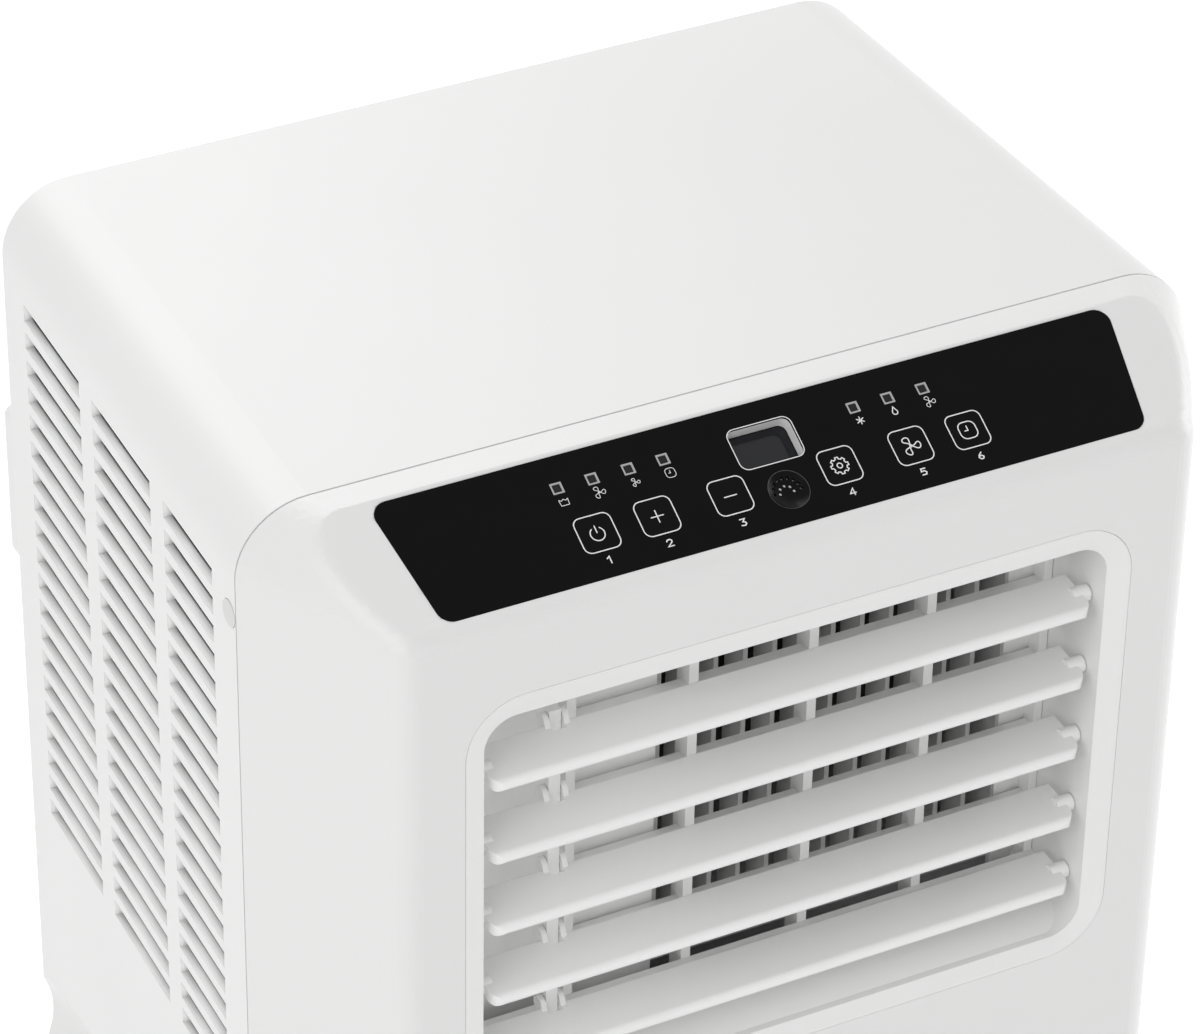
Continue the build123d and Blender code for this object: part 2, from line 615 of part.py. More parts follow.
def control_film():
    film = on_slope(film_outline(), 0, 0, -FILM_PROUD, FILM_THICKNESS - FILM_PROUD)
    key_window = KEY_SIZE + 2 * CLOSE_GAP
    key_opening = RectangleRounded(key_window, key_window, KEY_CORNER)
    for x in KEY_X:
        film -= on_slope(key_opening, x, KEY_DOWN, -1, FILM_THICKNESS)
    for x in LAMP_X:
        film -= on_slope(Rectangle(LAMP_WINDOW, LAMP_WINDOW), x, LAMP_DOWN, -1, FILM_THICKNESS)
    opening = RectangleRounded(DISPLAY_WIDTH, DISPLAY_HEIGHT, DISPLAY_CORNER)
    film -= on_slope(opening, DISPLAY_X, DISPLAY_DOWN, -1, FILM_THICKNESS)
    film -= on_slope(Circle(SOUNDER_RADIUS + CLOSE_GAP), SOUNDER_X, SOUNDER_DOWN, -1, FILM_THICKNESS)
    return film


def key(x):
    stem_end = BOARD_DEPTH - SWITCH_HEIGHT - SWITCH_BUTTON - KEY_TRAVEL - PIN_CLEARANCE
    cap = on_slope(RectangleRounded(KEY_SIZE, KEY_SIZE, KEY_CORNER), x, KEY_DOWN, -FILM_PROUD, KEY_THICKNESS)
    return cap + on_slope(Circle(KEY_STEM_RADIUS), x, KEY_DOWN, KEY_THICKNESS - 1, stem_end)


def sounder_disc():
    disc = on_slope(Circle(SOUNDER_RADIUS), SOUNDER_X, SOUNDER_DOWN, -FILM_PROUD, SOUNDER_THICKNESS)
    for ring, count in SOUNDER_RINGS:
        for i in range(count):
            angle = radians(180 * i / (count - 1))
            x = SOUNDER_X + ring * cos(angle)
            down = SOUNDER_DOWN - ring * sin(angle)
            disc -= on_slope(Circle(SOUNDER_HOLE), x, down, -1, SOUNDER_THICKNESS)
    return disc


def display_module():
    width = DISPLAY_WIDTH + 2 * WELL_WALL
    height = DISPLAY_HEIGHT + 2 * WELL_WALL
    return on_slope(Rectangle(width, height), DISPLAY_X, DISPLAY_DOWN, DISPLAY_SUNK + SLIP, BOARD_DEPTH)


def status_lamps():
    shape = Rectangle(LAMP_SIZE, LAMP_SIZE)
    return [on_slope(shape, x, LAMP_DOWN, LAMP_SUNK, BOARD_DEPTH) for x in LAMP_X]


def post_places():
    """Corners of the control board, as places on the slope."""
    x = BOARD_WIDTH / 2 - POST_INSET
    return [(side * x, down) for side in (-1, 1) for down in (POST_INSET, BOARD_HEIGHT - POST_INSET)]


def control_board():
    board = Rectangle(BOARD_WIDTH, BOARD_HEIGHT)
    return on_slope(board, 0, BOARD_HEIGHT / 2, BOARD_DEPTH, BOARD_DEPTH + BOARD_THICKNESS)


def tact_switches():
    switches = []
    for x in KEY_X:
        top = BOARD_DEPTH - SWITCH_HEIGHT
        body = on_slope(Rectangle(SWITCH_SIZE, SWITCH_SIZE), x, KEY_DOWN, top, BOARD_DEPTH)
        body += on_slope(Circle(SWITCH_BUTTON_RADIUS), x, KEY_DOWN, top - SWITCH_BUTTON, top)
        switches.append(body)
    return switches


def louvre_frame():
    half = OUTLET_WIDTH / 2
    wall = FRAME_WALL
    flange_half = half + FLANGE_SIDE
    flange_low = OUTLET_BOTTOM - FLANGE_BELOW
    flange_top = OUTLET_TOP + FLANGE_ABOVE
    lip_y = FRONT_Y + PANEL_WALL + SLIP
    frame = window(flange_half, flange_low, flange_top, FLANGE_CORNER, FRONT_Y, lip_y)
    frame += window(
        flange_half + FRAME_LIP, flange_low - FRAME_LIP, flange_top + FRAME_LIP,
        FLANGE_CORNER, lip_y, lip_y + FRAME_LIP_THICKNESS,
    )
    frame += window(
        half + wall, OUTLET_BOTTOM - wall, OUTLET_TOP + wall,
        OUTLET_CORNER + wall, lip_y, GUARD_BACK,
    )
    mouth_width = 2 * (flange_half - FLANGE_EDGE)
    mouth_height = flange_top - flange_low - 2 * FLANGE_EDGE
    mouth = upright(FRONT_Y) * (
        Pos(0, (flange_low + flange_top) / 2)
        * RectangleRounded(mouth_width, mouth_height, FLANGE_CORNER - FLANGE_EDGE)
    )
    throat = upright(FRONT_Y + DISH_DEPTH) * (
        Pos(0, (OUTLET_BOTTOM + OUTLET_TOP) / 2)
        * RectangleRounded(OUTLET_WIDTH, OUTLET_HEIGHT, OUTLET_CORNER)
    )
    frame -= loft([mouth.face(), throat.face()], ruled=True)
    frame -= window(half, OUTLET_BOTTOM, OUTLET_TOP, OUTLET_CORNER, FRONT_Y + DISH_DEPTH, GUARD_BACK)
    floor = Polygon(
        (FRONT_Y + DISH_DEPTH + wall, OUTLET_BOTTOM),
        (GUARD_Y, OUTLET_BOTTOM),
        (GUARD_Y, OUTLET_BOTTOM + FLOOR_RISE),
        align=None,
    )
    ramp = extrude(sideways(-half) * floor, OUTLET_WIDTH)
    frame += ramp & window(half, OUTLET_BOTTOM, OUTLET_TOP, OUTLET_CORNER, FRONT_Y, GUARD_Y)
    for z in PIVOT_Z:
        frame -= bar((-half - wall, PIVOT_Y, z), (half + wall, PIVOT_Y, z), PIN_RADIUS + PIN_CLEARANCE)
    return frame


def outlet_grille():
    half = OUTLET_WIDTH / 2 - SLIP
    low = OUTLET_BOTTOM + SLIP
    top = OUTLET_TOP - SLIP
    corner = OUTLET_CORNER - SLIP
    rim = GUARD_RIM
    grille = window(half, low, top, corner, GUARD_Y, GUARD_BACK)
    grille -= window(half - rim, low + rim, top - rim, corner - rim, GUARD_Y, GUARD_BACK)
    foot = low + rim / 2
    head = top - rim / 2
    reach = half - rim / 2
    pitch = (OUTLET_WIDTH - 2 * GUARD_SIDE) / (GUARD_RIB_COUNT + 1)
    first_rib = -pitch * (GUARD_RIB_COUNT - 1) / 2
    for i in range(GUARD_RIB_COUNT):
        x = first_rib + i * pitch
        grille += block(x - GUARD_RIB / 2, x + GUARD_RIB / 2, GUARD_Y, GUARD_BACK, foot, head)
    for row in range(GUARD_BAR_COUNT):
        z = HEIGHT - GUARD_BAR_DROP - row * GUARD_BAR_PITCH
        grille += block(first_rib, reach, GUARD_Y, GUARD_Y + GUARD_BAR_DEPTH, z - GUARD_BAR, z)
    outline = window(half, low, top, corner, GUARD_Y, GUARD_BACK)
    for x0, x1 in ((-reach, SCROLL_LEFT), (SCROLL_RIGHT - SCROLL_WALL, reach)):
        grille += block(x0, x1, GUARD_BACK - GUARD_WALL, GUARD_BACK, foot, head) & outline
    return grille


def blade_place(index):
    """Where a blade's own axis lies when the blades stand as in the photo."""
    return Pos(0, PIVOT_Y, PIVOT_Z[index]) * Rot(LOUVRE_TILT, 0, 0)


def louvre(index):
    half = LOUVRE_LENGTH / 2
    nose = Pos(-NOSE_REACH, 0) * Circle(NOSE_RADIUS)
    tail = Pos(TAIL_REACH, 0) * Circle(TAIL_RADIUS)
    blade = extrude(sideways(-half) * make_hull(nose.edges() + tail.edges()), LOUVRE_LENGTH)
    front = -NOSE_REACH - NOSE_RADIUS
    back = TAIL_REACH + TAIL_RADIUS
    plan = Pos(0, (front + back) / 2) * Rectangle(LOUVRE_LENGTH, back - front)
    plan = fillet(plan.vertices().group_by(Axis.Y)[0], BLADE_CORNER)
    blade &= extrude(Pos(0, 0, -2 * NOSE_RADIUS) * plan, 4 * NOSE_RADIUS)
    slot = LINK_WIDTH / 2 + LINK_GAP
    ear_end = Pos(LINK_ARM, LINK_RISE) * Circle(EAR_RADIUS)
    ear_root = Pos(EAR_ROOT, 0) * Circle(TAIL_RADIUS)
    ear = make_hull(ear_end.edges() + ear_root.edges())
    for x in (LINK_X - slot - EAR_THICKNESS, LINK_X + slot):
        blade += extrude(sideways(x) * ear, EAR_THICKNESS)
    notch_start = LINK_ARM - NOTCH_DEPTH
    notch_end = back + EAR_RADIUS
    blade -= block(LINK_X - slot, LINK_X + slot, notch_start, notch_end, -BOSS_RADIUS, BOSS_RADIUS)
    hole_end = slot + 2 * EAR_THICKNESS
    hole = LINK_PIN_RADIUS + PIN_CLEARANCE
    blade -= bar((LINK_X - hole_end, LINK_ARM, LINK_RISE), (LINK_X + hole_end, LINK_ARM, LINK_RISE), hole)
    wall = OUTLET_WIDTH / 2
    for side in (-1, 1):
        blade += bar((side * (half - BOSS_LENGTH), 0, 0), (side * (wall - BOSS_GAP), 0, 0), BOSS_RADIUS)
        blade += bar((side * half, 0, 0), (side * (wall + FRAME_WALL), 0, 0), PIN_RADIUS)
    return blade_place(index) * blade


def louvre_link():
    pins = []
    for index in range(LOUVRE_COUNT):
        pins.append((blade_place(index) * Pos(0, LINK_ARM, LINK_RISE)).position)
    half = LINK_WIDTH / 2
    y = pins[0].Y
    low = pins[-1].Z - LINK_OVERHANG
    top = pins[0].Z + LINK_OVERHANG
    rod = block(LINK_X - half, LINK_X + half, y - LINK_DEPTH / 2, y + LINK_DEPTH / 2, low, top)
    reach = half + LINK_GAP + EAR_THICKNESS
    for pin in pins:
        rod += bar((LINK_X - reach, pin.Y, pin.Z), (LINK_X + reach, pin.Y, pin.Z), LINK_PIN_RADIUS)
    return rod


def cage_wheel(radius, width):
    """Squirrel-cage wheel along +Z: hub disc at the bottom, open ring at the top."""
    middle = radius - CAGE_BLADE_DEPTH / 2
    wheel = Cylinder(radius, CAGE_RING, align=(Align.CENTER, Align.CENTER, Align.MIN))
    wheel += Cylinder(HUB_RADIUS, HUB_LENGTH, align=(Align.CENTER, Align.CENTER, Align.MIN))
    ring = Circle(radius) - Circle(radius - CAGE_BLADE_DEPTH)
    wheel += extrude(Pos(0, 0, width - CAGE_RING) * ring, CAGE_RING)
    blade = Rectangle(CAGE_BLADE_DEPTH * cos(radians(CAGE_BLADE_ANGLE)), CAGE_BLADE_THICKNESS)
    for i in range(CAGE_BLADES):
        place = Rot(0, 0, 360 * i / CAGE_BLADES) * Pos(middle, 0, CAGE_RING) * Rot(0, 0, CAGE_BLADE_ANGLE)
        wheel += extrude(place * blade, width - 2 * CAGE_RING)
    bore = Cylinder(SHAFT_RADIUS + SHAFT_FIT, HUB_LENGTH, align=(Align.CENTER, Align.CENTER, Align.MIN))
    return wheel - bore


def fan_motor(shaft_length):
    """Motor along +Z: its mounting feet end at z = 0 and its shaft stands above them."""
    r = MOTOR_RADIUS
    end = -MOTOR_FOOT_LENGTH
    back = end - MOTOR_LENGTH
    profile = Polygon(
        (0, end + MOTOR_FLANGE), (MOTOR_BOSS, end + MOTOR_FLANGE), (MOTOR_BOSS, end),
        (r - MOTOR_FLANGE, end), (r, end - MOTOR_FLANGE), (r, back + MOTOR_BOSS),
        (r - MOTOR_BOSS, back), (0, back),
        align=None,
    )
    body = revolve(Plane.XZ * profile, Axis.Z)
    body += bar((0, 0, end), (0, 0, shaft_length), SHAFT_RADIUS)
    for i in range(3):
        x = MOTOR_FOOT_CIRCLE * cos(radians(90 + 120 * i))
        y = MOTOR_FOOT_CIRCLE * sin(radians(90 + 120 * i))
        body += bar((x, y, end - MOTOR_FLANGE), (x, y, 0), MOTOR_FOOT_RADIUS)
    return body


def blower_scroll():
    low = OUTLET_BOTTOM + MOUTH_MARGIN
    top = OUTLET_TOP - MOUTH_MARGIN
    ring = Pos(BLOWER_Y + SCROLL_OFFSET, BLOWER_Z) * Circle(SCROLL_RADIUS)
    throat = Pos(GUARD_BACK + VANE_DEPTH / 2, (low + top) / 2) * Rectangle(VANE_DEPTH, top - low)
    outline = make_hull(ring.edges() + throat.edges())
    casing = extrude(sideways(SCROLL_LEFT) * outline, SCROLL_RIGHT - SCROLL_LEFT)
    room = offset(outline, -SCROLL_WALL)
    width = SCROLL_RIGHT - SCROLL_LEFT - 2 * SCROLL_WALL
    casing -= extrude(sideways(SCROLL_LEFT + SCROLL_WALL) * room, width)
    casing -= block(
        SCROLL_LEFT + SCROLL_WALL, SCROLL_RIGHT - SCROLL_WALL,
        GUARD_BACK, GUARD_BACK + 2 * SCROLL_WALL, low + SCROLL_WALL, top - SCROLL_WALL,
    )
    count = int((SCROLL_RIGHT - SCROLL_LEFT) / VANE_PITCH)
    for i in range(1, count + 1):
        x = SCROLL_LEFT + i * VANE_PITCH
        if x < SCROLL_RIGHT - SCROLL_WALL - VANE_THICKNESS:
            casing += block(x, x + VANE_THICKNESS, GUARD_BACK, GUARD_BACK + VANE_DEPTH, low, top)
    left = (SCROLL_LEFT, BLOWER_Y, BLOWER_Z)
    left_inside = (SCROLL_LEFT + 2 * SCROLL_WALL, BLOWER_Y, BLOWER_Z)
    right = (SCROLL_RIGHT, BLOWER_Y, BLOWER_Z)
    right_inside = (SCROLL_RIGHT - 2 * SCROLL_WALL, BLOWER_Y, BLOWER_Z)
    casing -= bar(right_inside, right, INLET_RADIUS)
    return casing - bar(left, left_inside, MOTOR_BOSS + SLIP)


def blower_axis():
    """Frame of the blower: its z runs along +X from the motor side of the scroll."""
    return Plane(origin=(SCROLL_LEFT, BLOWER_Y, BLOWER_Z), x_dir=(0, 1, 0), z_dir=(1, 0, 0)).location


def blower_wheel():
    width = SCROLL_RIGHT - SCROLL_LEFT - 2 * (SCROLL_WALL + WHEEL_SIDE_GAP)
    return blower_axis() * Pos(0, 0, SCROLL_WALL + WHEEL_SIDE_GAP) * cage_wheel(WHEEL_RADIUS, width)


def blower_motor():
    return blower_axis() * fan_motor(SCROLL_WALL + WHEEL_SIDE_GAP + HUB_LENGTH)


def coil(width, height, z):
    """Finned heat exchanger that stands across the cabinet in front of the rear panel."""
    pack = block(-width / 2, width / 2, COIL_Y, COIL_Y + COIL_DEPTH, z, z + height)
    grooves = []
    count = int((width - FIN_PITCH) / FIN_PITCH)
    half = FIN_GROOVE / 2
    for i in range(count):
        x = (i - (count - 1) / 2) * FIN_PITCH
        for y in (COIL_Y, COIL_Y + COIL_DEPTH - FIN_GROOVE_DEPTH):
            grooves.append(block(x - half, x + half, y, y + FIN_GROOVE_DEPTH, z, z + height))
    pack -= grooves
    middle = COIL_Y + COIL_DEPTH / 2
    for side in (-1, 1):
        edge = side * width / 2
        pack += block(
            min(edge, edge + side * END_PLATE), max(edge, edge + side * END_PLATE),
            COIL_Y, COIL_Y + COIL_DEPTH, z, z + height,
        )
        for i in range(BEND_COUNT):
            centre = z + height * (i + 0.5) / BEND_COUNT
            plane = Plane(origin=(edge, middle, centre), x_dir=(side, 0, 0), z_dir=(0, -side, 0))
            hairpin = Torus(BEND_RADIUS, BEND_TUBE) & Pos(BEND_RADIUS + BEND_TUBE, 0, 0) * Box(
                2 * (BEND_RADIUS + BEND_TUBE), 4 * BEND_RADIUS, 4 * BEND_TUBE
            )
            pack += plane.location * hairpin
    return pack


def rear_panel():
    back = REAR_Y - REAR_SETBACK
    half = half_at(REAR_Y) - HOUSING_WALL - SLIP
    inset = HOUSING_WALL + SLIP
    panel = extrude(arch(back, half, HEIGHT - inset, BASE_TOP, CORNER_RADIUS - inset), REAR_WALL)
    panel -= scoops(HOUSING_WALL + SLIP)
    margin = FILTER_RIM + INTAKE_MARGIN
    intake_half = FILTER_WIDTH / 2 - margin
    low = FILTER_Z - FILTER_HEIGHT / 2 + margin
    top = FILTER_Z + FILTER_HEIGHT / 2 - margin
    panel -= block(-intake_half, intake_half, back - REAR_WALL, back, low, top)
    for i in range(1, INTAKE_BARS + 1):
        x = -intake_half + 2 * intake_half * i / (INTAKE_BARS + 1)
        panel += block(x - INTAKE_BAR / 2, x + INTAKE_BAR / 2, back - REAR_WALL, back, low, top)
    slots = []
    for column in range(REAR_SLOT_COLUMNS):
        x = (column - (REAR_SLOT_COLUMNS - 1) / 2) * (REAR_SLOT_LENGTH + REAR_SLOT_RIB)
        for row in range(REAR_SLOT_COUNT):
            z = REAR_SLOT_BOTTOM + row * REAR_SLOT_PITCH
            half_slot = REAR_SLOT_LENGTH / 2
            slots.append(block(x - half_slot, x + half_slot, back - REAR_WALL, back, z, z + REAR_SLOT_HEIGHT))
    panel -= slots
    port = COLLAR_OUTER + SLIP
    panel -= bar((0, back - REAR_WALL, COLLAR_Z), (0, back, COLLAR_Z), port)
    panel -= bar((GLAND_X, back - REAR_WALL, GLAND_Z), (GLAND_X, back, GLAND_Z), GLAND_RADIUS + SLIP)
    return panel


def exhaust_collar():
    """Hose collar: a flanged tube with a bead behind its free edge."""
    back = REAR_Y - REAR_SETBACK
    length = REAR_Y + REAR_REACH - BACK_INSIDE
    outer = COLLAR_OUTER
    seat = back - BACK_INSIDE
    profile = Polygon(
        (COLLAR_RADIUS, 0), (outer, 0), (outer, seat), (outer + COLLAR_FLANGE, seat),
        (outer + COLLAR_FLANGE, seat + COLLAR_FLANGE_THICKNESS), (outer, seat + COLLAR_FLANGE_THICKNESS),
        (outer, length - 3 * COLLAR_BEAD), (outer + COLLAR_BEAD, length - 2 * COLLAR_BEAD),
        (outer, length - COLLAR_BEAD), (outer, length), (COLLAR_RADIUS, length),
        align=None,
    )
    ring = revolve(Plane.XZ * profile, Axis.Z)
    place = Plane(origin=(0, BACK_INSIDE, COLLAR_Z), x_dir=(1, 0, 0), z_dir=(0, 1, 0))
    return place.location * ring


def cord_gland():
    """Bushing in the rear panel where the mains lead comes out."""
    back = REAR_Y - REAR_SETBACK
    seat = back - BACK_INSIDE
    profile = Polygon(
        (GLAND_BORE, 0), (GLAND_RADIUS, 0), (GLAND_RADIUS, seat), (GLAND_RADIUS + GLAND_LIP, seat),
        (GLAND_RADIUS + GLAND_LIP, seat + GLAND_LIP_THICKNESS), (GLAND_RADIUS, seat + GLAND_PROUD),
        (GLAND_BORE, seat + GLAND_PROUD),
        align=None,
    )
    ring = revolve(Plane.XZ * profile, Axis.Z)
    place = Plane(origin=(GLAND_X, BACK_INSIDE, GLAND_Z), x_dir=(1, 0, 0), z_dir=(0, 1, 0))
    return place.location * ring


def filter_frame():
    back = REAR_Y - REAR_SETBACK
    half = FILTER_WIDTH / 2
    low = FILTER_Z - FILTER_HEIGHT / 2
    top = FILTER_Z + FILTER_HEIGHT / 2
    rim = FILTER_RIM
    out = back + FILTER_DEPTH
    frame = window(half, low, top, FILTER_CORNER, back, out)
    frame -= window(half - rim, low + rim, top - rim, FILTER_CORNER / 2, back, out)
    rib = FILTER_RIB / 2
    net = back + NET_THICKNESS
    for i in range(1, FILTER_COLUMNS):
        x = -half + FILTER_WIDTH * i / FILTER_COLUMNS
        frame += block(x - rib, x + rib, net, out, low + rim / 2, top - rim / 2)
    for i in range(1, FILTER_ROWS):
        z = low + FILTER_HEIGHT * i / FILTER_ROWS
        frame += block(-half + rim / 2, half - rim / 2, net, out, z - rib, z + rib)
    tab_z = FILTER_Z - TAB_HEIGHT / 2
    reach = half + TAB_REACH
    plate = window(reach, tab_z, tab_z + TAB_HEIGHT, TAB_CORNER, REAR_Y + SLIP, REAR_Y + TAB_PROUD)
    plate -= block(-half + rim, half - rim, REAR_Y, REAR_Y + TAB_PROUD, tab_z, tab_z + TAB_HEIGHT)
    return frame + plate


def filter_net():
    back = REAR_Y - REAR_SETBACK
    half = FILTER_WIDTH / 2 - FILTER_RIM
    low = FILTER_Z - FILTER_HEIGHT / 2 + FILTER_RIM
    top = FILTER_Z + FILTER_HEIGHT / 2 - FILTER_RIM
    return window(half, low, top, FILTER_CORNER / 2, back, back + NET_THICKNESS)


def bulkhead_tray():
    """Shelf between the two halves: it carries the evaporator and catches its water."""
    inset = PANEL_WALL + TONGUE_WALL + 2 * SLIP
    z = BULKHEAD_Z
    tray = footprint(inset, z, BULKHEAD_THICKNESS)
    tray += footprint(inset, z, BULKHEAD_RIM) - footprint(inset + BULKHEAD_RIM_WALL, z, BULKHEAD_RIM)
    tray &= block(-HALF, HALF, BULKHEAD_FRONT, BACK_INSIDE - SLIP, z, z + BULKHEAD_RIM)
    x, y = COMPRESSOR_X, ACCUMULATOR_Y
    return tray - block(x - BULKHEAD_PASS, x + BULKHEAD_PASS, y - BULKHEAD_PASS, y + BULKHEAD_PASS, z, HEIGHT)


def compressor():
    r = COMPRESSOR_RADIUS
    h = COMPRESSOR_HEIGHT
    d = COMPRESSOR_DOME
    with BuildSketch(Plane.XZ) as section:
        with BuildLine():
            Line((0, 0), (r - d, 0))
            CenterArc((r - d, d), d, 270, 90)
            Line((r, d), (r, h - d))
            CenterArc((r - d, h - d), d, 0, 90)
            Line((r - d, h), (0, h))
            Line((0, h), (0, 0))
        make_face()
    can = revolve(section.sketch, Axis.Z)
    foot = RegularPolygon(COMPRESSOR_FOOT_CIRCLE + GROMMET_RADIUS, 3)
    foot = fillet(foot.vertices(), GROMMET_RADIUS)
    can += extrude(foot, COMPRESSOR_FOOT)
    return Pos(COMPRESSOR_X, COMPRESSOR_Y, COMPRESSOR_Z) * can


def mount_places():
    """Places in plan of the three rubber mounts under the compressor."""
    circle = COMPRESSOR_FOOT_CIRCLE - GROMMET_RADIUS
    places = []
    for i in range(3):
        angle = radians(120 * i)
        places.append((COMPRESSOR_X + circle * cos(angle), COMPRESSOR_Y + circle * sin(angle)))
    return places


def compressor_mounts():
    return [bar((x, y, PILLAR_TOP), (x, y, COMPRESSOR_Z), GROMMET_RADIUS) for x, y in mount_places()]


def accumulator():
    """Small receiver can strapped to the front of the compressor."""
    x, y = COMPRESSOR_X, ACCUMULATOR_Y
    z = COMPRESSOR_Z + ACCUMULATOR_LIFT
    can = Cylinder(ACCUMULATOR_RADIUS, ACCUMULATOR_HEIGHT, align=(Align.CENTER, Align.CENTER, Align.MIN))
    ends = can.edges().filter_by(GeomType.CIRCLE)
    can = Pos(x, y, z) * fillet(ends, ACCUMULATOR_END)
    strap_z = z + (ACCUMULATOR_HEIGHT - STRAP_HEIGHT) / 2
    strap = block(
        x - STRAP_THICKNESS / 2, x + STRAP_THICKNESS / 2, y, COMPRESSOR_Y - COMPRESSOR_RADIUS,
        strap_z, strap_z + STRAP_HEIGHT,
    )
    return can + strap


def fan_axis():
    """Frame of the condenser fan: its z runs from the front of the scroll to the rear."""
    return Plane(origin=(FAN_X, FAN_FRONT, FAN_Z), x_dir=(1, 0, 0), z_dir=(0, 1, 0)).location


def condenser_scroll():
    ring = Pos(FAN_X, FAN_Z + FAN_SCROLL_OFFSET) * Circle(FAN_SCROLL_RADIUS)
    mouth_low = FAN_Z + FAN_SCROLL_OFFSET
    mouth_x = (FAN_MOUTH_LEFT + FAN_MOUTH_RIGHT) / 2
    mouth = Rectangle(FAN_MOUTH_RIGHT - FAN_MOUTH_LEFT, FAN_MOUTH_TOP - mouth_low)
    mouth = Pos(mouth_x, (mouth_low + FAN_MOUTH_TOP) / 2) * mouth
    outline = make_hull(ring.edges() + mouth.edges())
    casing = extrude(upright(FAN_BACK) * outline, FAN_SCROLL_DEPTH)
    room = upright(FAN_BACK - SCROLL_WALL) * offset(outline, -SCROLL_WALL)
    casing -= extrude(room, FAN_SCROLL_DEPTH - 2 * SCROLL_WALL)
    casing -= block(
        FAN_MOUTH_LEFT + SCROLL_WALL, FAN_MOUTH_RIGHT - SCROLL_WALL,
        FAN_FRONT + SCROLL_WALL, FAN_BACK - SCROLL_WALL,
        FAN_MOUTH_TOP - 2 * SCROLL_WALL, FAN_MOUTH_TOP,
    )
    inlet = FAN_RADIUS - INLET_MARGIN
    casing -= bar((FAN_X, FAN_BACK - 2 * SCROLL_WALL, FAN_Z), (FAN_X, FAN_BACK, FAN_Z), inlet)
    front = (FAN_X, FAN_FRONT, FAN_Z)
    return casing - bar(front, (FAN_X, FAN_FRONT + 2 * SCROLL_WALL, FAN_Z), MOTOR_BOSS + SLIP)


def condenser_fan():
    width = FAN_SCROLL_DEPTH - 2 * (SCROLL_WALL + WHEEL_SIDE_GAP)
    return fan_axis() * Pos(0, 0, SCROLL_WALL + WHEEL_SIDE_GAP) * cage_wheel(FAN_RADIUS, width)


def condenser_motor():
    return fan_axis() * fan_motor(SCROLL_WALL + WHEEL_SIDE_GAP + HUB_LENGTH)


def exhaust_duct():
    """Elbow that leads the warm air from the condenser scroll to the rear collar."""
    height = BULKHEAD_Z - FAN_MOUTH_TOP
    end = BACK_INSIDE - SLIP
    section = Pos((FAN_FRONT + end) / 2, FAN_MOUTH_TOP + height / 2) * Rectangle(end - FAN_FRONT, height)
    bend = section.vertices().group_by(Axis.Y)[-1].sort_by(Axis.X)[0]
    section = fillet(bend, FAN_SCROLL_DEPTH)
    width = FAN_MOUTH_RIGHT - DUCT_LEFT
    duct = extrude(sideways(DUCT_LEFT) * section, width)
    room = sideways(DUCT_LEFT + DUCT_WALL) * offset(section, -DUCT_WALL)
    duct -= extrude(room, width - 2 * DUCT_WALL)
    duct -= block(
        FAN_MOUTH_LEFT + DUCT_WALL, FAN_MOUTH_RIGHT - DUCT_WALL,
        FAN_FRONT + DUCT_WALL, FAN_BACK - DUCT_WALL,
        FAN_MOUTH_TOP, FAN_MOUTH_TOP + 2 * DUCT_WALL,
    )
    return duct - bar((0, end - 2 * DUCT_WALL, COLLAR_Z), (0, end, COLLAR_Z), COLLAR_RADIUS)


def pipe(points):
    """Copper tube along straight runs joined by tangent bends."""
    path = FilletPolyline(*points, radius=PIPE_BEND)
    start = Plane(origin=path @ 0, z_dir=path % 0)
    ring = Circle(PIPE_RADIUS) - Circle(PIPE_RADIUS - PIPE_WALL)
    return sweep(start * ring, path)


def suction_pipe():
    """From the evaporator down through the bulkhead to the accumulator."""
    x, y = COMPRESSOR_X, ACCUMULATOR_Y
    low = COMPRESSOR_Z + ACCUMULATOR_LIFT + ACCUMULATOR_HEIGHT
    bend_z = EVAPORATOR_Z + BULKHEAD_RIM + PIPE_BEND
    return pipe([(x, y, low), (x, y, bend_z), (x, COIL_Y, bend_z)])


def discharge_pipe():
    """From the top of the compressor over to the condenser."""
    low = COMPRESSOR_Z + COMPRESSOR_HEIGHT
    high = low + 2 * PIPE_BEND
    into = STEM_BOSS_TOP + CONDENSER_HEIGHT
    x, y = COMPRESSOR_X, COMPRESSOR_Y
    middle = COIL_Y + COIL_DEPTH / 2
    return pipe([(x, y, low), (x, y, high), (x, middle, high), (x, middle, into)])


def electrical_box():
    """Closed box for the capacitors and the mains terminals, beside the blower motor."""
    x0 = BOX_SIDE_MARGIN - HALF
    x1 = SCROLL_LEFT - MOTOR_FOOT_LENGTH - MOTOR_LENGTH - BOX_MOTOR_GAP
    y0 = GUARD_BACK + VANE_DEPTH
    z0 = BULKHEAD_Z + BULKHEAD_THICKNESS
    box = block(x0, x1, y0, y0 + BOX_DEPTH, z0, z0 + BOX_HEIGHT)
    room = block(
        x0 + BOX_WALL, x1 - BOX_WALL, y0 + BOX_WALL, y0 + BOX_DEPTH - BOX_WALL,
        z0 + BOX_WALL, z0 + BOX_HEIGHT - BOX_LID,
    )
    return box - room


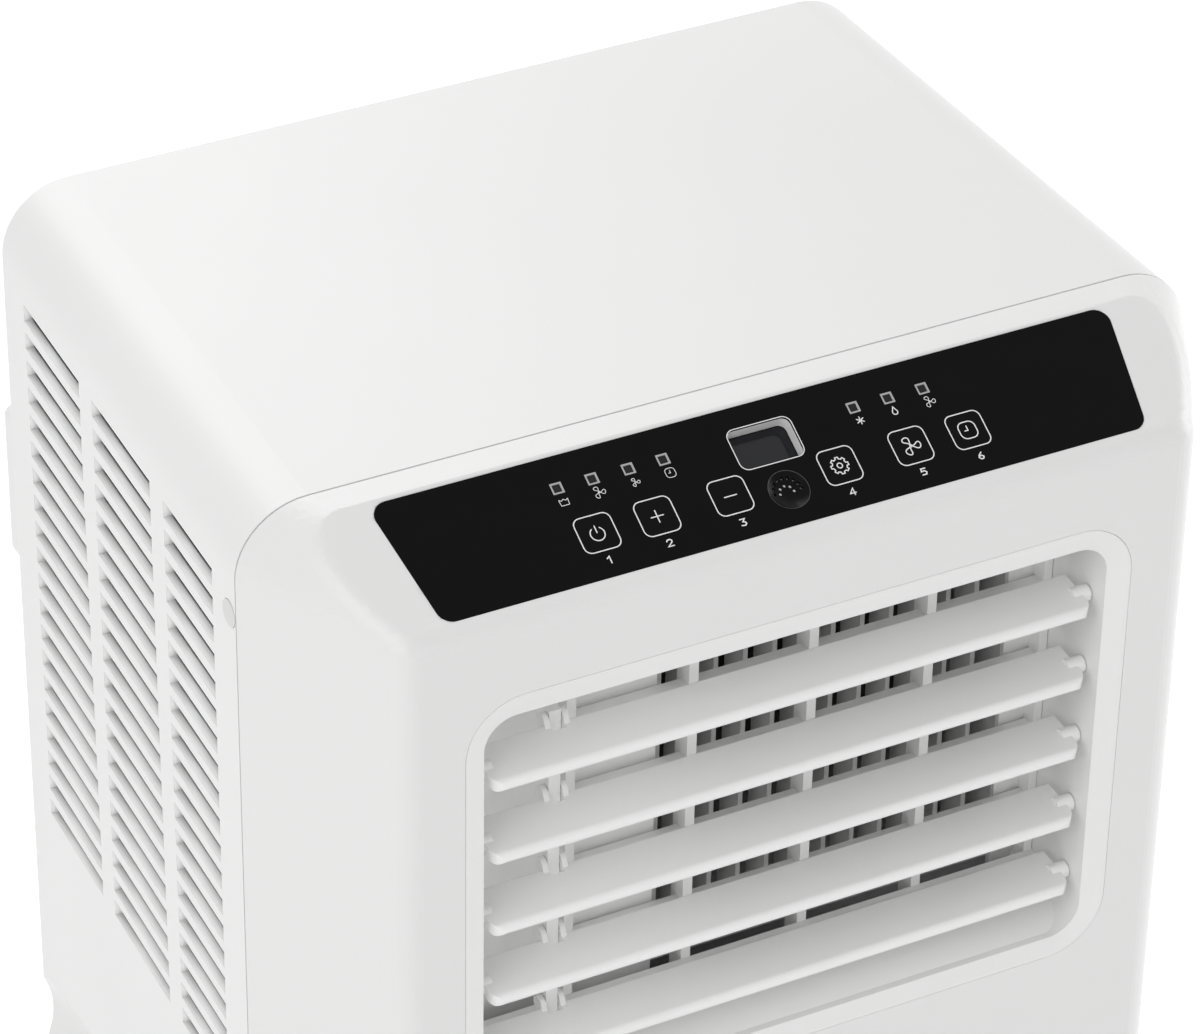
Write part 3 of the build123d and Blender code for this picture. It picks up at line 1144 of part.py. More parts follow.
def base_pan():
    pan = footprint(0, GROUND_GAP, BASE_HEIGHT)
    pan -= footprint(PANEL_WALL + SLIP + TONGUE_WALL, FLOOR_TOP, BASE_HEIGHT)
    ring = footprint(PANEL_WALL + SLIP, BASE_TOP - 1, BASE_TONGUE + 1)
    ring -= footprint(PANEL_WALL + SLIP + TONGUE_WALL, BASE_TOP - 1, BASE_TONGUE + 1)
    ring &= block(-HALF, HALF, FRONT_Y, BACK_INSIDE - SLIP, BASE_TOP - 1, BASE_TOP + BASE_TONGUE)
    pan += ring
    for x, y in mount_places():
        pan += bar((x, y, GROUND_GAP), (x, y, PILLAR_TOP), GROMMET_RADIUS)
    for x, y in CASTORS.values():
        pan += bar((x, y, GROUND_GAP), (x, y, POCKET_TOP + POCKET_ROOF), POCKET_RADIUS + FLOOR_WALL)
        pan += bar((x, y, POCKET_TOP), (x, y, STEM_BOSS_TOP), STEM_RADIUS + STEM_BOSS)
    for x, y in CASTORS.values():
        pan -= bar((x, y, GROUND_GAP - 1), (x, y, POCKET_TOP), POCKET_RADIUS)
        pan -= bar((x, y, POCKET_TOP), (x, y, POCKET_TOP + STEM_LENGTH), STEM_RADIUS + STEM_CLEARANCE)
    z = spout_height()
    pan += bar((SPOUT_X, REAR_Y - TONGUE, z), (SPOUT_X, REAR_Y + SPOUT_LENGTH, z), SPOUT_RADIUS + SPOUT_WALL)
    return pan - bar((SPOUT_X, REAR_Y - 2 * TONGUE, z), (SPOUT_X, REAR_Y + SPOUT_LENGTH, z), SPOUT_RADIUS)


def spout_height():
    """Height of the drain spout's axis: its bore is level with the pan's floor."""
    return GROUND_GAP + BASE_HEIGHT / 2


def drain_plug():
    """Rubber bung in the drain spout, with a wide head to pull on."""
    z = spout_height()
    end = REAR_Y + SPOUT_LENGTH
    plug = bar((SPOUT_X, end - PLUG_LENGTH, z), (SPOUT_X, end, z), SPOUT_RADIUS - PLUG_FIT)
    return plug + bar((SPOUT_X, end, z), (SPOUT_X, end + PLUG_HEAD, z), SPOUT_RADIUS + SPOUT_WALL)


def castor_fork(x, y):
    """Hood, web, axle and stem of a twin-wheel castor."""
    axle_y = TRAIL
    wide = WEB_THICKNESS / 2 + WEB_GAP + WHEEL_WIDTH
    hood = bar((-wide, axle_y, WHEEL_Z), (wide, axle_y, WHEEL_Z), HOOD_RADIUS)
    hood &= block(-wide, wide, axle_y - HOOD_RADIUS, axle_y + HOOD_RADIUS, WHEEL_Z + WEB_RADIUS, SWIVEL_TOP)
    hood += bar((0, 0, WHEEL_Z + WEB_RADIUS + WHEEL_WIDTH), (0, 0, SWIVEL_TOP), 2 * WEB_THICKNESS)
    hood += bar((0, 0, SWIVEL_TOP - SWIVEL_DISC), (0, 0, SWIVEL_TOP), SWIVEL_DISC_RADIUS)
    hood -= bar((-wide, axle_y, WHEEL_Z), (wide, axle_y, WHEEL_Z), HOOD_RADIUS - HOOD_WALL)
    low_end = Pos(axle_y, WHEEL_Z) * Circle(WEB_RADIUS)
    high_end = Pos(axle_y / 2, WHEEL_Z + HOOD_RADIUS - WEB_RADIUS) * Circle(WEB_RADIUS)
    web = make_hull(low_end.edges() + high_end.edges())
    fork = hood + extrude(sideways(-WEB_THICKNESS / 2) * web, WEB_THICKNESS)
    fork += bar((0, 0, SWIVEL_TOP), (0, 0, POCKET_TOP + STEM_LENGTH - POCKET_GAP), STEM_RADIUS)
    fork += bar((-wide, axle_y, WHEEL_Z), (wide, axle_y, WHEEL_Z), AXLE_RADIUS)
    return Pos(x, y, 0) * fork


def castor_wheel(x, y):
    """Both treads of a castor, which turn on its axle."""
    treads = []
    start = WEB_THICKNESS / 2 + WEB_GAP
    for side in (-1, 1):
        inner = (side * start, TRAIL, WHEEL_Z)
        outer = (side * (start + WHEEL_WIDTH), TRAIL, WHEEL_Z)
        tread = bar(inner, outer, WHEEL_TREAD_RADIUS)
        rims = tread.edges().filter_by(GeomType.CIRCLE)
        tread = fillet(rims, WHEEL_EDGE)
        treads.append(Pos(x, y, 0) * (tread - bar(inner, outer, AXLE_RADIUS + AXLE_CLEARANCE)))
    return treads


PARTS = {
    "base_pan": base_pan(),
    "wrap_housing": wrap_housing(),
    "rear_panel": rear_panel(),
    "front_panel": front_panel(),
    "screw_caps": screw_caps(),
    "control_film": control_film(),
    "sounder_disc": sounder_disc(),
    "display_module": display_module(),
    "status_lamps": status_lamps(),
    "control_board": control_board(),
    "tact_switches": tact_switches(),
    "louvre_frame": louvre_frame(),
    "outlet_grille": outlet_grille(),
    "louvre_link": louvre_link(),
    "blower_scroll": blower_scroll(),
    "blower_wheel": blower_wheel(),
    "blower_motor": blower_motor(),
    "evaporator": coil(EVAPORATOR_WIDTH, EVAPORATOR_HEIGHT, EVAPORATOR_Z),
    "filter_frame": filter_frame(),
    "filter_net": filter_net(),
    "bulkhead_tray": bulkhead_tray(),
    "compressor": compressor(),
    "compressor_mounts": compressor_mounts(),
    "accumulator": accumulator(),
    "condenser": coil(CONDENSER_WIDTH, CONDENSER_HEIGHT, STEM_BOSS_TOP),
    "condenser_scroll": condenser_scroll(),
    "condenser_fan": condenser_fan(),
    "condenser_motor": condenser_motor(),
    "exhaust_duct": exhaust_duct(),
    "exhaust_collar": exhaust_collar(),
    "suction_pipe": suction_pipe(),
    "discharge_pipe": discharge_pipe(),
    "electrical_box": electrical_box(),
    "cord_gland": cord_gland(),
    "drain_plug": drain_plug(),
}
for key_name, key_x in zip(KEY_NAMES, KEY_X):
    PARTS["key_" + key_name] = key(key_x)
for number in range(LOUVRE_COUNT):
    PARTS["louvre_" + str(number + 1)] = louvre(number)
for corner, (corner_x, corner_y) in CASTORS.items():
    PARTS["castor_fork_" + corner] = castor_fork(corner_x, corner_y)
    PARTS["castor_wheel_" + corner] = castor_wheel(corner_x, corner_y)

os.makedirs("parts", exist_ok=True)
for name, shape in PARTS.items():
    solids = shape if isinstance(shape, list) else [shape]
    export_step(Compound(children=[s for piece in solids for s in piece.solids()]), "parts/" + name + ".step")
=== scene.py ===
import bpy
import bmesh
from math import atan2, cos, hypot, pi, radians, sin
from mathutils import Matrix, Vector


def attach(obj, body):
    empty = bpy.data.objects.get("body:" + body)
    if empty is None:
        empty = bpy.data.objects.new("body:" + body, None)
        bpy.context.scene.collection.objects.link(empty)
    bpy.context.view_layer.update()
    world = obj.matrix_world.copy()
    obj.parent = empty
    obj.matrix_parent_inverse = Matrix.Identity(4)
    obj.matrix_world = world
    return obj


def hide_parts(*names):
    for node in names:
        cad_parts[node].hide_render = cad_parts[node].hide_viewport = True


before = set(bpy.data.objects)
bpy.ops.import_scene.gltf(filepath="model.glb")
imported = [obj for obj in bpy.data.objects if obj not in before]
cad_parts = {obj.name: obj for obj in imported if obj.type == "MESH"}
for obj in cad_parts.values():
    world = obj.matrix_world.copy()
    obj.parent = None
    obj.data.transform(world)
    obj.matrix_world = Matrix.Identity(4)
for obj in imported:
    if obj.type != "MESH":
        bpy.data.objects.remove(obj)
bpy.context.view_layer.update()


# Base pan: the moulded tray that carries everything, with four castor pockets and the drain spout.
# Grey filled plastic, moulded in one piece; the castors' stems push up into its pockets.

def moulded(name, colour, rough, pit_mm, depth_mm, tone=0.97):
    """Moulded plastic: faint flow shading in the colour, and the fine pits of an etched mould."""
    finish = bpy.data.materials.new(name)
    finish.use_nodes = True
    tree = finish.node_tree
    skin = tree.nodes["Principled BSDF"]
    place = tree.nodes.new("ShaderNodeTexCoord")
    flow = tree.nodes.new("ShaderNodeTexNoise")
    flow.inputs["Scale"].default_value = 7.0
    flow.inputs["Detail"].default_value = 2.0
    shading = tree.nodes.new("ShaderNodeValToRGB")
    shading.color_ramp.elements[0].position = 0.3
    shading.color_ramp.elements[0].color = (*[tone * c for c in colour], 1)
    shading.color_ramp.elements[1].position = 0.62
    shading.color_ramp.elements[1].color = (*colour, 1)
    pits = tree.nodes.new("ShaderNodeTexNoise")
    pits.inputs["Scale"].default_value = 1000 / pit_mm
    pits.inputs["Detail"].default_value = 1.5
    sheen = tree.nodes.new("ShaderNodeMapRange")
    sheen.inputs["From Min"].default_value = 0.3
    sheen.inputs["From Max"].default_value = 0.7
    sheen.inputs["To Min"].default_value = rough - 0.04
    sheen.inputs["To Max"].default_value = rough + 0.05
    relief = tree.nodes.new("ShaderNodeBump")
    relief.inputs["Strength"].default_value = 0.35
    relief.inputs["Distance"].default_value = depth_mm / 1000
    tree.links.new(place.outputs["Object"], flow.inputs["Vector"])
    tree.links.new(place.outputs["Object"], pits.inputs["Vector"])
    tree.links.new(flow.outputs["Fac"], shading.inputs["Fac"])
    tree.links.new(shading.outputs["Color"], skin.inputs["Base Color"])
    tree.links.new(pits.outputs["Fac"], sheen.inputs["Value"])
    tree.links.new(sheen.outputs["Result"], skin.inputs["Roughness"])
    tree.links.new(pits.outputs["Fac"], relief.inputs["Height"])
    tree.links.new(relief.outputs["Normal"], skin.inputs["Normal"])
    return finish


def dress(finish, *names):
    """Gives the named CAD nodes this finish."""
    for name in names:
        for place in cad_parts[name].material_slots:
            place.material = finish


grey_plastic = moulded("grey_plastic", (0.46, 0.465, 0.47), 0.52, 0.8, 0.02)
dress(grey_plastic, "base_pan")


# Castors: four of them, each a hood and a web on a stem that swivels, with a tread on either side.
# All of it is black nylon; both treads run on one axle through the web and are scuffed by use.

castor_nylon = moulded("castor_nylon", (0.022, 0.022, 0.023), 0.42, 0.6, 0.015, 0.8)
tread_nylon = moulded("tread_nylon", (0.04, 0.04, 0.041), 0.62, 1.6, 0.05, 0.7)
for corner in ("front_left", "front_right", "rear_left", "rear_right"):
    dress(castor_nylon, "castor_fork_" + corner)
    dress(tread_nylon, "castor_wheel_" + corner)


# Compressor: a welded steel can on three rubber feet, with its receiver strapped to its front.
# Sprayed in black enamel, which dries with a faint orange peel; the feet are soft black rubber.

def enamelled(name, colour, rough):
    """Sprayed enamel on steel: an orange-peel surface under a clear gloss."""
    finish = bpy.data.materials.new(name)
    finish.use_nodes = True
    tree = finish.node_tree
    skin = tree.nodes["Principled BSDF"]
    skin.inputs["Roughness"].default_value = rough
    skin.inputs["Coat Weight"].default_value = 0.4
    skin.inputs["Coat Roughness"].default_value = 0.12
    place = tree.nodes.new("ShaderNodeTexCoord")
    peel = tree.nodes.new("ShaderNodeTexNoise")
    peel.inputs["Scale"].default_value = 420.0
    peel.inputs["Detail"].default_value = 1.0
    dust = tree.nodes.new("ShaderNodeTexNoise")
    dust.inputs["Scale"].default_value = 30.0
    tint = tree.nodes.new("ShaderNodeValToRGB")
    tint.color_ramp.elements[0].position = 0.35
    tint.color_ramp.elements[0].color = (*colour, 1)
    tint.color_ramp.elements[1].position = 0.75
    tint.color_ramp.elements[1].color = (*[1.35 * c + 0.004 for c in colour], 1)
    relief = tree.nodes.new("ShaderNodeBump")
    relief.inputs["Strength"].default_value = 0.25
    relief.inputs["Distance"].default_value = 0.00005
    tree.links.new(place.outputs["Object"], peel.inputs["Vector"])
    tree.links.new(place.outputs["Object"], dust.inputs["Vector"])
    tree.links.new(dust.outputs["Fac"], tint.inputs["Fac"])
    tree.links.new(tint.outputs["Color"], skin.inputs["Base Color"])
    tree.links.new(peel.outputs["Fac"], relief.inputs["Height"])
    tree.links.new(relief.outputs["Normal"], skin.inputs["Normal"])
    return finish


black_enamel = enamelled("black_enamel", (0.018, 0.018, 0.019), 0.35)
dress(black_enamel, "compressor", "accumulator")
soft_rubber = moulded("soft_rubber", (0.026, 0.026, 0.027), 0.72, 0.5, 0.02, 0.8)
dress(soft_rubber, "compressor_mounts")


# Suction and discharge pipes: drawn copper tube, bent on a mandrel and brazed to the coils.
# Bare copper, a little browned where it has been handled and heated.

pipe_copper = bpy.data.materials.new("pipe_copper")
pipe_copper.use_nodes = True
tree = pipe_copper.node_tree
skin = tree.nodes["Principled BSDF"]
skin.inputs["Metallic"].default_value = 1.0
place = tree.nodes.new("ShaderNodeTexCoord")
tarnish = tree.nodes.new("ShaderNodeTexNoise")
tarnish.inputs["Scale"].default_value = 60.0
tarnish.inputs["Detail"].default_value = 4.0
brown = tree.nodes.new("ShaderNodeValToRGB")
brown.color_ramp.elements[0].position = 0.35
brown.color_ramp.elements[0].color = (0.36, 0.17, 0.09, 1)
brown.color_ramp.elements[1].position = 0.6
brown.color_ramp.elements[1].color = (0.74, 0.37, 0.22, 1)
gloss = tree.nodes.new("ShaderNodeMapRange")
gloss.inputs["To Min"].default_value = 0.42
gloss.inputs["To Max"].default_value = 0.24
tree.links.new(place.outputs["Object"], tarnish.inputs["Vector"])
tree.links.new(tarnish.outputs["Fac"], brown.inputs["Fac"])
tree.links.new(brown.outputs["Color"], skin.inputs["Base Color"])
tree.links.new(tarnish.outputs["Fac"], gloss.inputs["Value"])
tree.links.new(gloss.outputs["Result"], skin.inputs["Roughness"])
dress(pipe_copper, "suction_pipe", "discharge_pipe")


# Evaporator and condenser: finned coils, thin aluminium fins pressed on rows of copper tube.
# The fins stand upright, packed close, so each face reads as fine bright stripes with dark gaps; the dark
# gaps are painted shade between the fins.

fin_aluminium = bpy.data.materials.new("fin_aluminium")
fin_aluminium.use_nodes = True
tree = fin_aluminium.node_tree
skin = tree.nodes["Principled BSDF"]
skin.inputs["Metallic"].default_value = 1.0
skin.inputs["Roughness"].default_value = 0.38
place = tree.nodes.new("ShaderNodeTexCoord")
fins = tree.nodes.new("ShaderNodeTexWave")
fins.bands_direction = "X"
fins.inputs["Scale"].default_value = 220.0
fins.inputs["Distortion"].default_value = 0.15
# Colour ramp from painted shade in the gaps between fins to the fins' bright aluminium.
fin_gap_shade = tree.nodes.new("ShaderNodeValToRGB")
fin_gap_shade.color_ramp.elements[0].position = 0.25
fin_gap_shade.color_ramp.elements[0].color = (0.16, 0.165, 0.17, 1)
fin_gap_shade.color_ramp.elements[1].position = 0.6
fin_gap_shade.color_ramp.elements[1].color = (0.78, 0.79, 0.8, 1)
relief = tree.nodes.new("ShaderNodeBump")
relief.inputs["Strength"].default_value = 0.6
relief.inputs["Distance"].default_value = 0.0005
tree.links.new(place.outputs["Object"], fins.inputs["Vector"])
tree.links.new(fins.outputs["Fac"], fin_gap_shade.inputs["Fac"])
tree.links.new(fin_gap_shade.outputs["Color"], skin.inputs["Base Color"])
tree.links.new(fins.outputs["Fac"], relief.inputs["Height"])
tree.links.new(relief.outputs["Normal"], skin.inputs["Normal"])
dress(fin_aluminium, "evaporator", "condenser")


# Fans: the condenser fan and the blower wheel, each in its scroll casing, each on its motor's shaft.
# Wheels and the condenser's casing are black moulded plastic, the blower's casing and the duct pale grey.
# The motors are cast cases in grey enamel.

fan_plastic = moulded("fan_plastic", (0.03, 0.03, 0.031), 0.5, 0.7, 0.02, 0.8)
dress(fan_plastic, "condenser_fan", "condenser_scroll", "blower_wheel")
scroll_plastic = moulded("scroll_plastic", (0.55, 0.55, 0.546), 0.55, 0.9, 0.02, 0.95)
dress(scroll_plastic, "blower_scroll", "exhaust_duct")
motor_enamel = enamelled("motor_enamel", (0.3, 0.305, 0.31), 0.42)
dress(motor_enamel, "condenser_motor", "blower_motor")


# Bulkhead tray and electrical box: the shelf between the warm and the cool half, and the wiring case.
# The tray is grey moulded plastic and catches the water; the box is black, and stands on the tray.

tray_plastic = moulded("tray_plastic", (0.5, 0.505, 0.51), 0.5, 0.8, 0.02)
dress(tray_plastic, "bulkhead_tray")
box_plastic = moulded("box_plastic", (0.028, 0.028, 0.029), 0.46, 0.6, 0.03, 0.8)
dress(box_plastic, "electrical_box")


# Wrap housing: one moulded shell for the top and both sides, with the inlet slots and hand scoops.
# White plastic from an etched mould, almost smooth to the eye; screws go in under four caps.

shell_white = moulded("shell_white", (0.81, 0.81, 0.806), 0.4, 0.45, 0.006, 0.985)
dress(shell_white, "wrap_housing")
# The caps' greyer white is painted shade, darker than the shell they sit in.
cap_painted_shade = moulded("cap_painted_shade", (0.7, 0.7, 0.695), 0.45, 0.4, 0.006, 0.97)
dress(cap_painted_shade, "screw_caps")


# Slot linings: each inlet slot's ledge and rear end are crowned and roll over into the wall.
# A black strip behind each ledge's sill is painted shade: it darkens the slot's inner gap, where the
# interior shows through.
# Sizes are in millimetres; an outline gives depth under the wall's outside, and rise from ledge or end.

SLOT_SPANS = [(-65.8, -25.8), (-14.5, 35.5), (46.8, 96.8)]
SLOT_ROWS = 20
SLOT_PITCH = 10.52
SLOT_HEIGHT = 6.4
TOP_LEDGE = 642.4
SEAM_HALF = 165.0
SEAM_Y = -85.0
REAR_TAPER = 6.5
HOUSING_DEPTH = 203.0
LINING_SINK = 0.3
SILL_OUTLINE = [(0.12, -LINING_SINK), (0.12, 0.1), (0.3, 0.5), (0.7, 0.85),
                (1.2, 1.08), (1.75, 1.22), (2.25, 1.3), (2.25, -LINING_SINK)]
CHEEK_OUTLINE = [(0.12, -LINING_SINK), (0.12, 0.1), (0.35, 0.6), (0.8, 1.05),
                 (1.5, 1.4), (2.3, 1.65), (3.2, 1.8), (3.2, -LINING_SINK)]
SHADE_STRIP_OUTLINE = [(2.4, -LINING_SINK), (2.4, 0.12), (3.3, 0.12), (3.3, -LINING_SINK)]
side_taper = REAR_TAPER / HOUSING_DEPTH


def wall_point(side, depth, y, z):
    """Place under the outside of a side wall, in metres."""
    half = SEAM_HALF - side_taper * (y - SEAM_Y)
    return (side * (half - depth) / 1000, y / 1000, z / 1000)


def add_bar(form, near, far):
    """Closed bar between two like outlines, rounded along all but its last strip and its foot."""
    near = [form.verts.new(spot) for spot in near]
    far = [form.verts.new(spot) for spot in far]
    form.faces.new(near)
    form.faces.new(far)
    for i in range(len(near)):
        strip = form.faces.new((near[i - 1], near[i], far[i], far[i - 1]))
        strip.smooth = 0 < i < len(near) - 1


def hang(name, form, body, finish):
    """Turns a form into a piece that rides on its body."""
    bmesh.ops.recalc_face_normals(form, faces=form.faces)
    mesh = bpy.data.meshes.new(name)
    form.to_mesh(mesh)
    form.free()
    mesh.materials.append(finish)
    piece = bpy.data.objects.new(name, mesh)
    bpy.context.scene.collection.objects.link(piece)
    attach(piece, body)
    return piece


linings = bmesh.new()
shade_strips = bmesh.new()
for side in (-1, 1):
    for start, end in SLOT_SPANS:
        for row in range(SLOT_ROWS):
            ledge = TOP_LEDGE - row * SLOT_PITCH
            for form, outline in ((linings, SILL_OUTLINE), (shade_strips, SHADE_STRIP_OUTLINE)):
                near, far = [[wall_point(side, depth, y, ledge + rise) for depth, rise in outline]
                             for y in (start - LINING_SINK, end + LINING_SINK)]
                add_bar(form, near, far)
            foot, head = ledge - LINING_SINK, ledge + SLOT_HEIGHT + LINING_SINK
            near, far = [[wall_point(side, depth, end - rise, z) for depth, rise in CHEEK_OUTLINE]
                         for z in (foot, head)]
            add_bar(linings, near, far)
hang("slot_linings", linings, "cabinet", shell_white)
# The black strips are painted shade, a dark sheet standing for the interior seen past each sill.
slot_shade_black = moulded("slot_shade_black", (0.016, 0.016, 0.017), 0.9, 0.3, 0.05, 0.7)
hang("slot_shade_strips", shade_strips, "cabinet", slot_shade_black)


# Rear panel: the flat back, with the hose collar and the lead's grommet; the drain plug is below it.
# Panel and collar are the housing's white plastic; grommet and plug are black rubber, pushed in.

dress(shell_white, "rear_panel", "exhaust_collar")
plug_rubber = moulded("plug_rubber", (0.03, 0.03, 0.031), 0.68, 0.4, 0.02, 0.8)
dress(plug_rubber, "cord_gland", "drain_plug")


# Air filter: a white moulded frame that slides out to the rear, with a fine net welded into it.
# The net is woven from dark monofilament, with a thread about every 1.2 millimetres; the openings between
# threads are painted near-black as painted shade.

dress(shell_white, "filter_frame")
filter_weave = bpy.data.materials.new("filter_weave")
filter_weave.use_nodes = True
tree = filter_weave.node_tree
skin = tree.nodes["Principled BSDF"]
skin.inputs["Roughness"].default_value = 0.6
place = tree.nodes.new("ShaderNodeTexCoord")
warp = tree.nodes.new("ShaderNodeTexWave")
warp.bands_direction = "X"
warp.inputs["Scale"].default_value = 260.0
weft = tree.nodes.new("ShaderNodeTexWave")
weft.bands_direction = "Z"
weft.inputs["Scale"].default_value = 260.0
threads = tree.nodes.new("ShaderNodeMath")
threads.operation = "MAXIMUM"
# Colour ramp from painted shade in the net's openings to the threads' dark grey.
net_gap_shade = tree.nodes.new("ShaderNodeValToRGB")
net_gap_shade.color_ramp.elements[0].position = 0.35
net_gap_shade.color_ramp.elements[0].color = (0.006, 0.006, 0.007, 1)
net_gap_shade.color_ramp.elements[1].position = 0.8
net_gap_shade.color_ramp.elements[1].color = (0.075, 0.08, 0.09, 1)
relief = tree.nodes.new("ShaderNodeBump")
relief.inputs["Strength"].default_value = 0.7
relief.inputs["Distance"].default_value = 0.0003
tree.links.new(place.outputs["Object"], warp.inputs["Vector"])
tree.links.new(place.outputs["Object"], weft.inputs["Vector"])
tree.links.new(warp.outputs["Fac"], threads.inputs[0])
tree.links.new(weft.outputs["Fac"], threads.inputs[1])
tree.links.new(threads.outputs["Value"], net_gap_shade.inputs["Fac"])
tree.links.new(net_gap_shade.outputs["Color"], skin.inputs["Base Color"])
tree.links.new(threads.outputs["Value"], relief.inputs["Height"])
tree.links.new(relief.outputs["Normal"], skin.inputs["Normal"])
dress(filter_weave, "filter_net")


# Front panel: the moulded front with its sloped control face, chamfered sides and outlet window.
# White plastic as the housing; a tongue along its edge slips inside the housing's rim.
# A copy with its upper corners rounded off stands in for the plain one. Sizes are in millimetres.

panel_white = moulded("panel_white", (0.82, 0.82, 0.816), 0.38, 0.45, 0.005, 0.988)
dress(panel_white, "front_panel")

FRONT_Y = -140.0
CREASE_Y = -95.4
TOP_Z = 680.0
FRONT_HALF = 136.0
ARCH_RADIUS = 24.0
SLOPE_DROP = 23.5
SLOPE_RUN = 44.6
SLOPE = atan2(SLOPE_DROP, SLOPE_RUN)
FOLD_RADIUS = 9.0
SOFT_EDGE = 12.0
SOFT_RUN = 6.0
SOFT_ROUNDS = 5
LEAST_RADIUS = 0.2
NEARLY_FLUSH = 0.99
side_lean = (SEAM_HALF - FRONT_HALF) / (SEAM_Y - FRONT_Y)


def off_face(spot):
    """How far a spot (mm) is outside the rounded line of slope and front, and which way that faces."""
    slope_out = Vector((0, -sin(SLOPE), cos(SLOPE)))
    front_out = Vector((0, -1, 0))
    over_slope = slope_out.dot(spot - Vector((0, CREASE_Y, TOP_Z)))
    over_front = FRONT_Y - spot.y
    heart_y = FRONT_Y + FOLD_RADIUS
    heart_z = TOP_Z + (sin(SLOPE) * (heart_y - CREASE_Y) - FOLD_RADIUS) / cos(SLOPE)
    y, z = spot.y - heart_y, spot.z - heart_z
    if z > 0 and -y * cos(SLOPE) - z * sin(SLOPE) > 0:
        reach = hypot(y, z)
        return reach - FOLD_RADIUS, Vector((0, y, z)) / reach
    return (over_slope, slope_out) if over_slope > over_front else (over_front, front_out)


def off_side(spot):
    """The same for the chamfered side with its round shoulder."""
    side = 1 if spot.x > 0 else -1
    half = FRONT_HALF + side_lean * (spot.y - FRONT_Y)
    x = abs(spot.x) - (half - ARCH_RADIUS)
    z = max(0, spot.z - (TOP_Z - ARCH_RADIUS))
    if x <= 0:
        return None
    reach = hypot(x, z)
    out = Vector((side * x / reach, -side_lean * x / reach, z / reach))
    return (reach - ARCH_RADIUS) / out.length, out.normalized()


def soften(spot):
    """Moves a spot (mm) that stands over the round between face and side down onto it."""
    for _ in range(SOFT_ROUNDS):
        along = min(1, max(0, (CREASE_Y - spot.y) / SOFT_RUN))
        radius = SOFT_EDGE * along * along * (3 - 2 * along)
        side = off_side(spot)
        if side is None or radius < LEAST_RADIUS:
            return spot
        (face_over, face_out), (side_over, side_out) = off_face(spot), side
        turn = face_out.dot(side_out)
        if turn > NEARLY_FLUSH:
            return spot
        a, b = radius + face_over, radius + side_over
        face_share = (a - b * turn) / (1 - turn * turn)
        side_share = (b - a * turn) / (1 - turn * turn)
        if face_share <= 0 or side_share <= 0:
            return spot
        away = face_out * face_share + side_out * side_share
        if away.length <= radius:
            return spot
        spot = spot - away.normalized() * (away.length - radius)
    return spot


CUTS_ACROSS = range(126, 164, 2)
CUTS_BACK = range(97, 140, 3)
CUTS_UP = range(636, 680, 3)
CORNER_INNER = 124
CORNER_FOOT = 635
JOIN_BEFORE = 1e-6
JOIN_AFTER = 2e-6
ON_PLANE = 1e-7
SHARP_FROM = 24

panel = bmesh.new()
panel.from_mesh(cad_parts["front_panel"].data)
bmesh.ops.remove_doubles(panel, verts=panel.verts, dist=JOIN_BEFORE)
cuts = [((side * x / 1000, 0, 0), (1, 0, 0), 0) for side in (-1, 1) for x in CUTS_ACROSS]
cuts += [((0, -y / 1000, 0), (0, 1, 0), CORNER_FOOT) for y in CUTS_BACK]
cuts += [((0, 0, z / 1000), (0, 0, 1), CORNER_FOOT) for z in CUTS_UP]
for place, across, foot in cuts:
    near = [f for f in panel.faces
            if max(abs(v.co.x) for v in f.verts) > CORNER_INNER / 1000
            and max(v.co.z for v in f.verts) > foot / 1000]
    edges = {e for f in near for e in f.edges}
    corners = {v for f in near for v in f.verts}
    parts = near + list(edges) + list(corners)
    bmesh.ops.bisect_plane(panel, geom=parts, dist=ON_PLANE, plane_co=place, plane_no=across)
for spot in panel.verts:
    spot.co = soften(spot.co * 1000) / 1000
bmesh.ops.triangulate(panel, faces=panel.faces)
bmesh.ops.remove_doubles(panel, verts=panel.verts, dist=JOIN_AFTER)
panel_mesh = bpy.data.meshes.new("soft_front_panel")
panel.to_mesh(panel_mesh)
panel.free()
for face in panel_mesh.polygons:
    face.use_smooth = True
panel_mesh.set_sharp_from_angle(angle=radians(SHARP_FROM))
panel_mesh.materials.clear()
panel_mesh.materials.append(panel_white)
panel_piece = bpy.data.objects.new("soft_front_panel", panel_mesh)
bpy.context.scene.collection.objects.link(panel_piece)
even = panel_piece.modifiers.new("even_faces", "WEIGHTED_NORMAL")
even.keep_sharp = True
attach(panel_piece, "cabinet")
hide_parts("front_panel")


# Control board: the printed circuit behind the control face, with six switches under the keys.
# Glass fibre with green lacquer over the tracks; the switches are black plastic with round buttons.

board_green = bpy.data.materials.new("board_green")
board_green.use_nodes = True
tree = board_green.node_tree
skin = tree.nodes["Principled BSDF"]
skin.inputs["Roughness"].default_value = 0.32
place = tree.nodes.new("ShaderNodeTexCoord")
tracks = tree.nodes.new("ShaderNodeTexBrick")
tracks.inputs["Scale"].default_value = 90.0
tracks.inputs["Mortar Size"].default_value = 0.04
tracks.inputs["Color1"].default_value = (0.012, 0.12, 0.04, 1)
tracks.inputs["Color2"].default_value = (0.016, 0.15, 0.05, 1)
tracks.inputs["Mortar"].default_value = (0.04, 0.27, 0.1, 1)
tree.links.new(place.outputs["Object"], tracks.inputs["Vector"])
tree.links.new(tracks.outputs["Color"], skin.inputs["Base Color"])
dress(board_green, "control_board")
switch_plastic = moulded("switch_plastic", (0.03, 0.03, 0.03), 0.45, 0.3, 0.01, 0.8)
dress(switch_plastic, "tact_switches")


# Control film: the black overlay stuck in its recess on the sloped face, with the keys let into it.
# Printed polyester, glossy; the marks are white ink, and each key's mark is printed on the key.
# Sizes are in millimetres, across and down the sloped face.

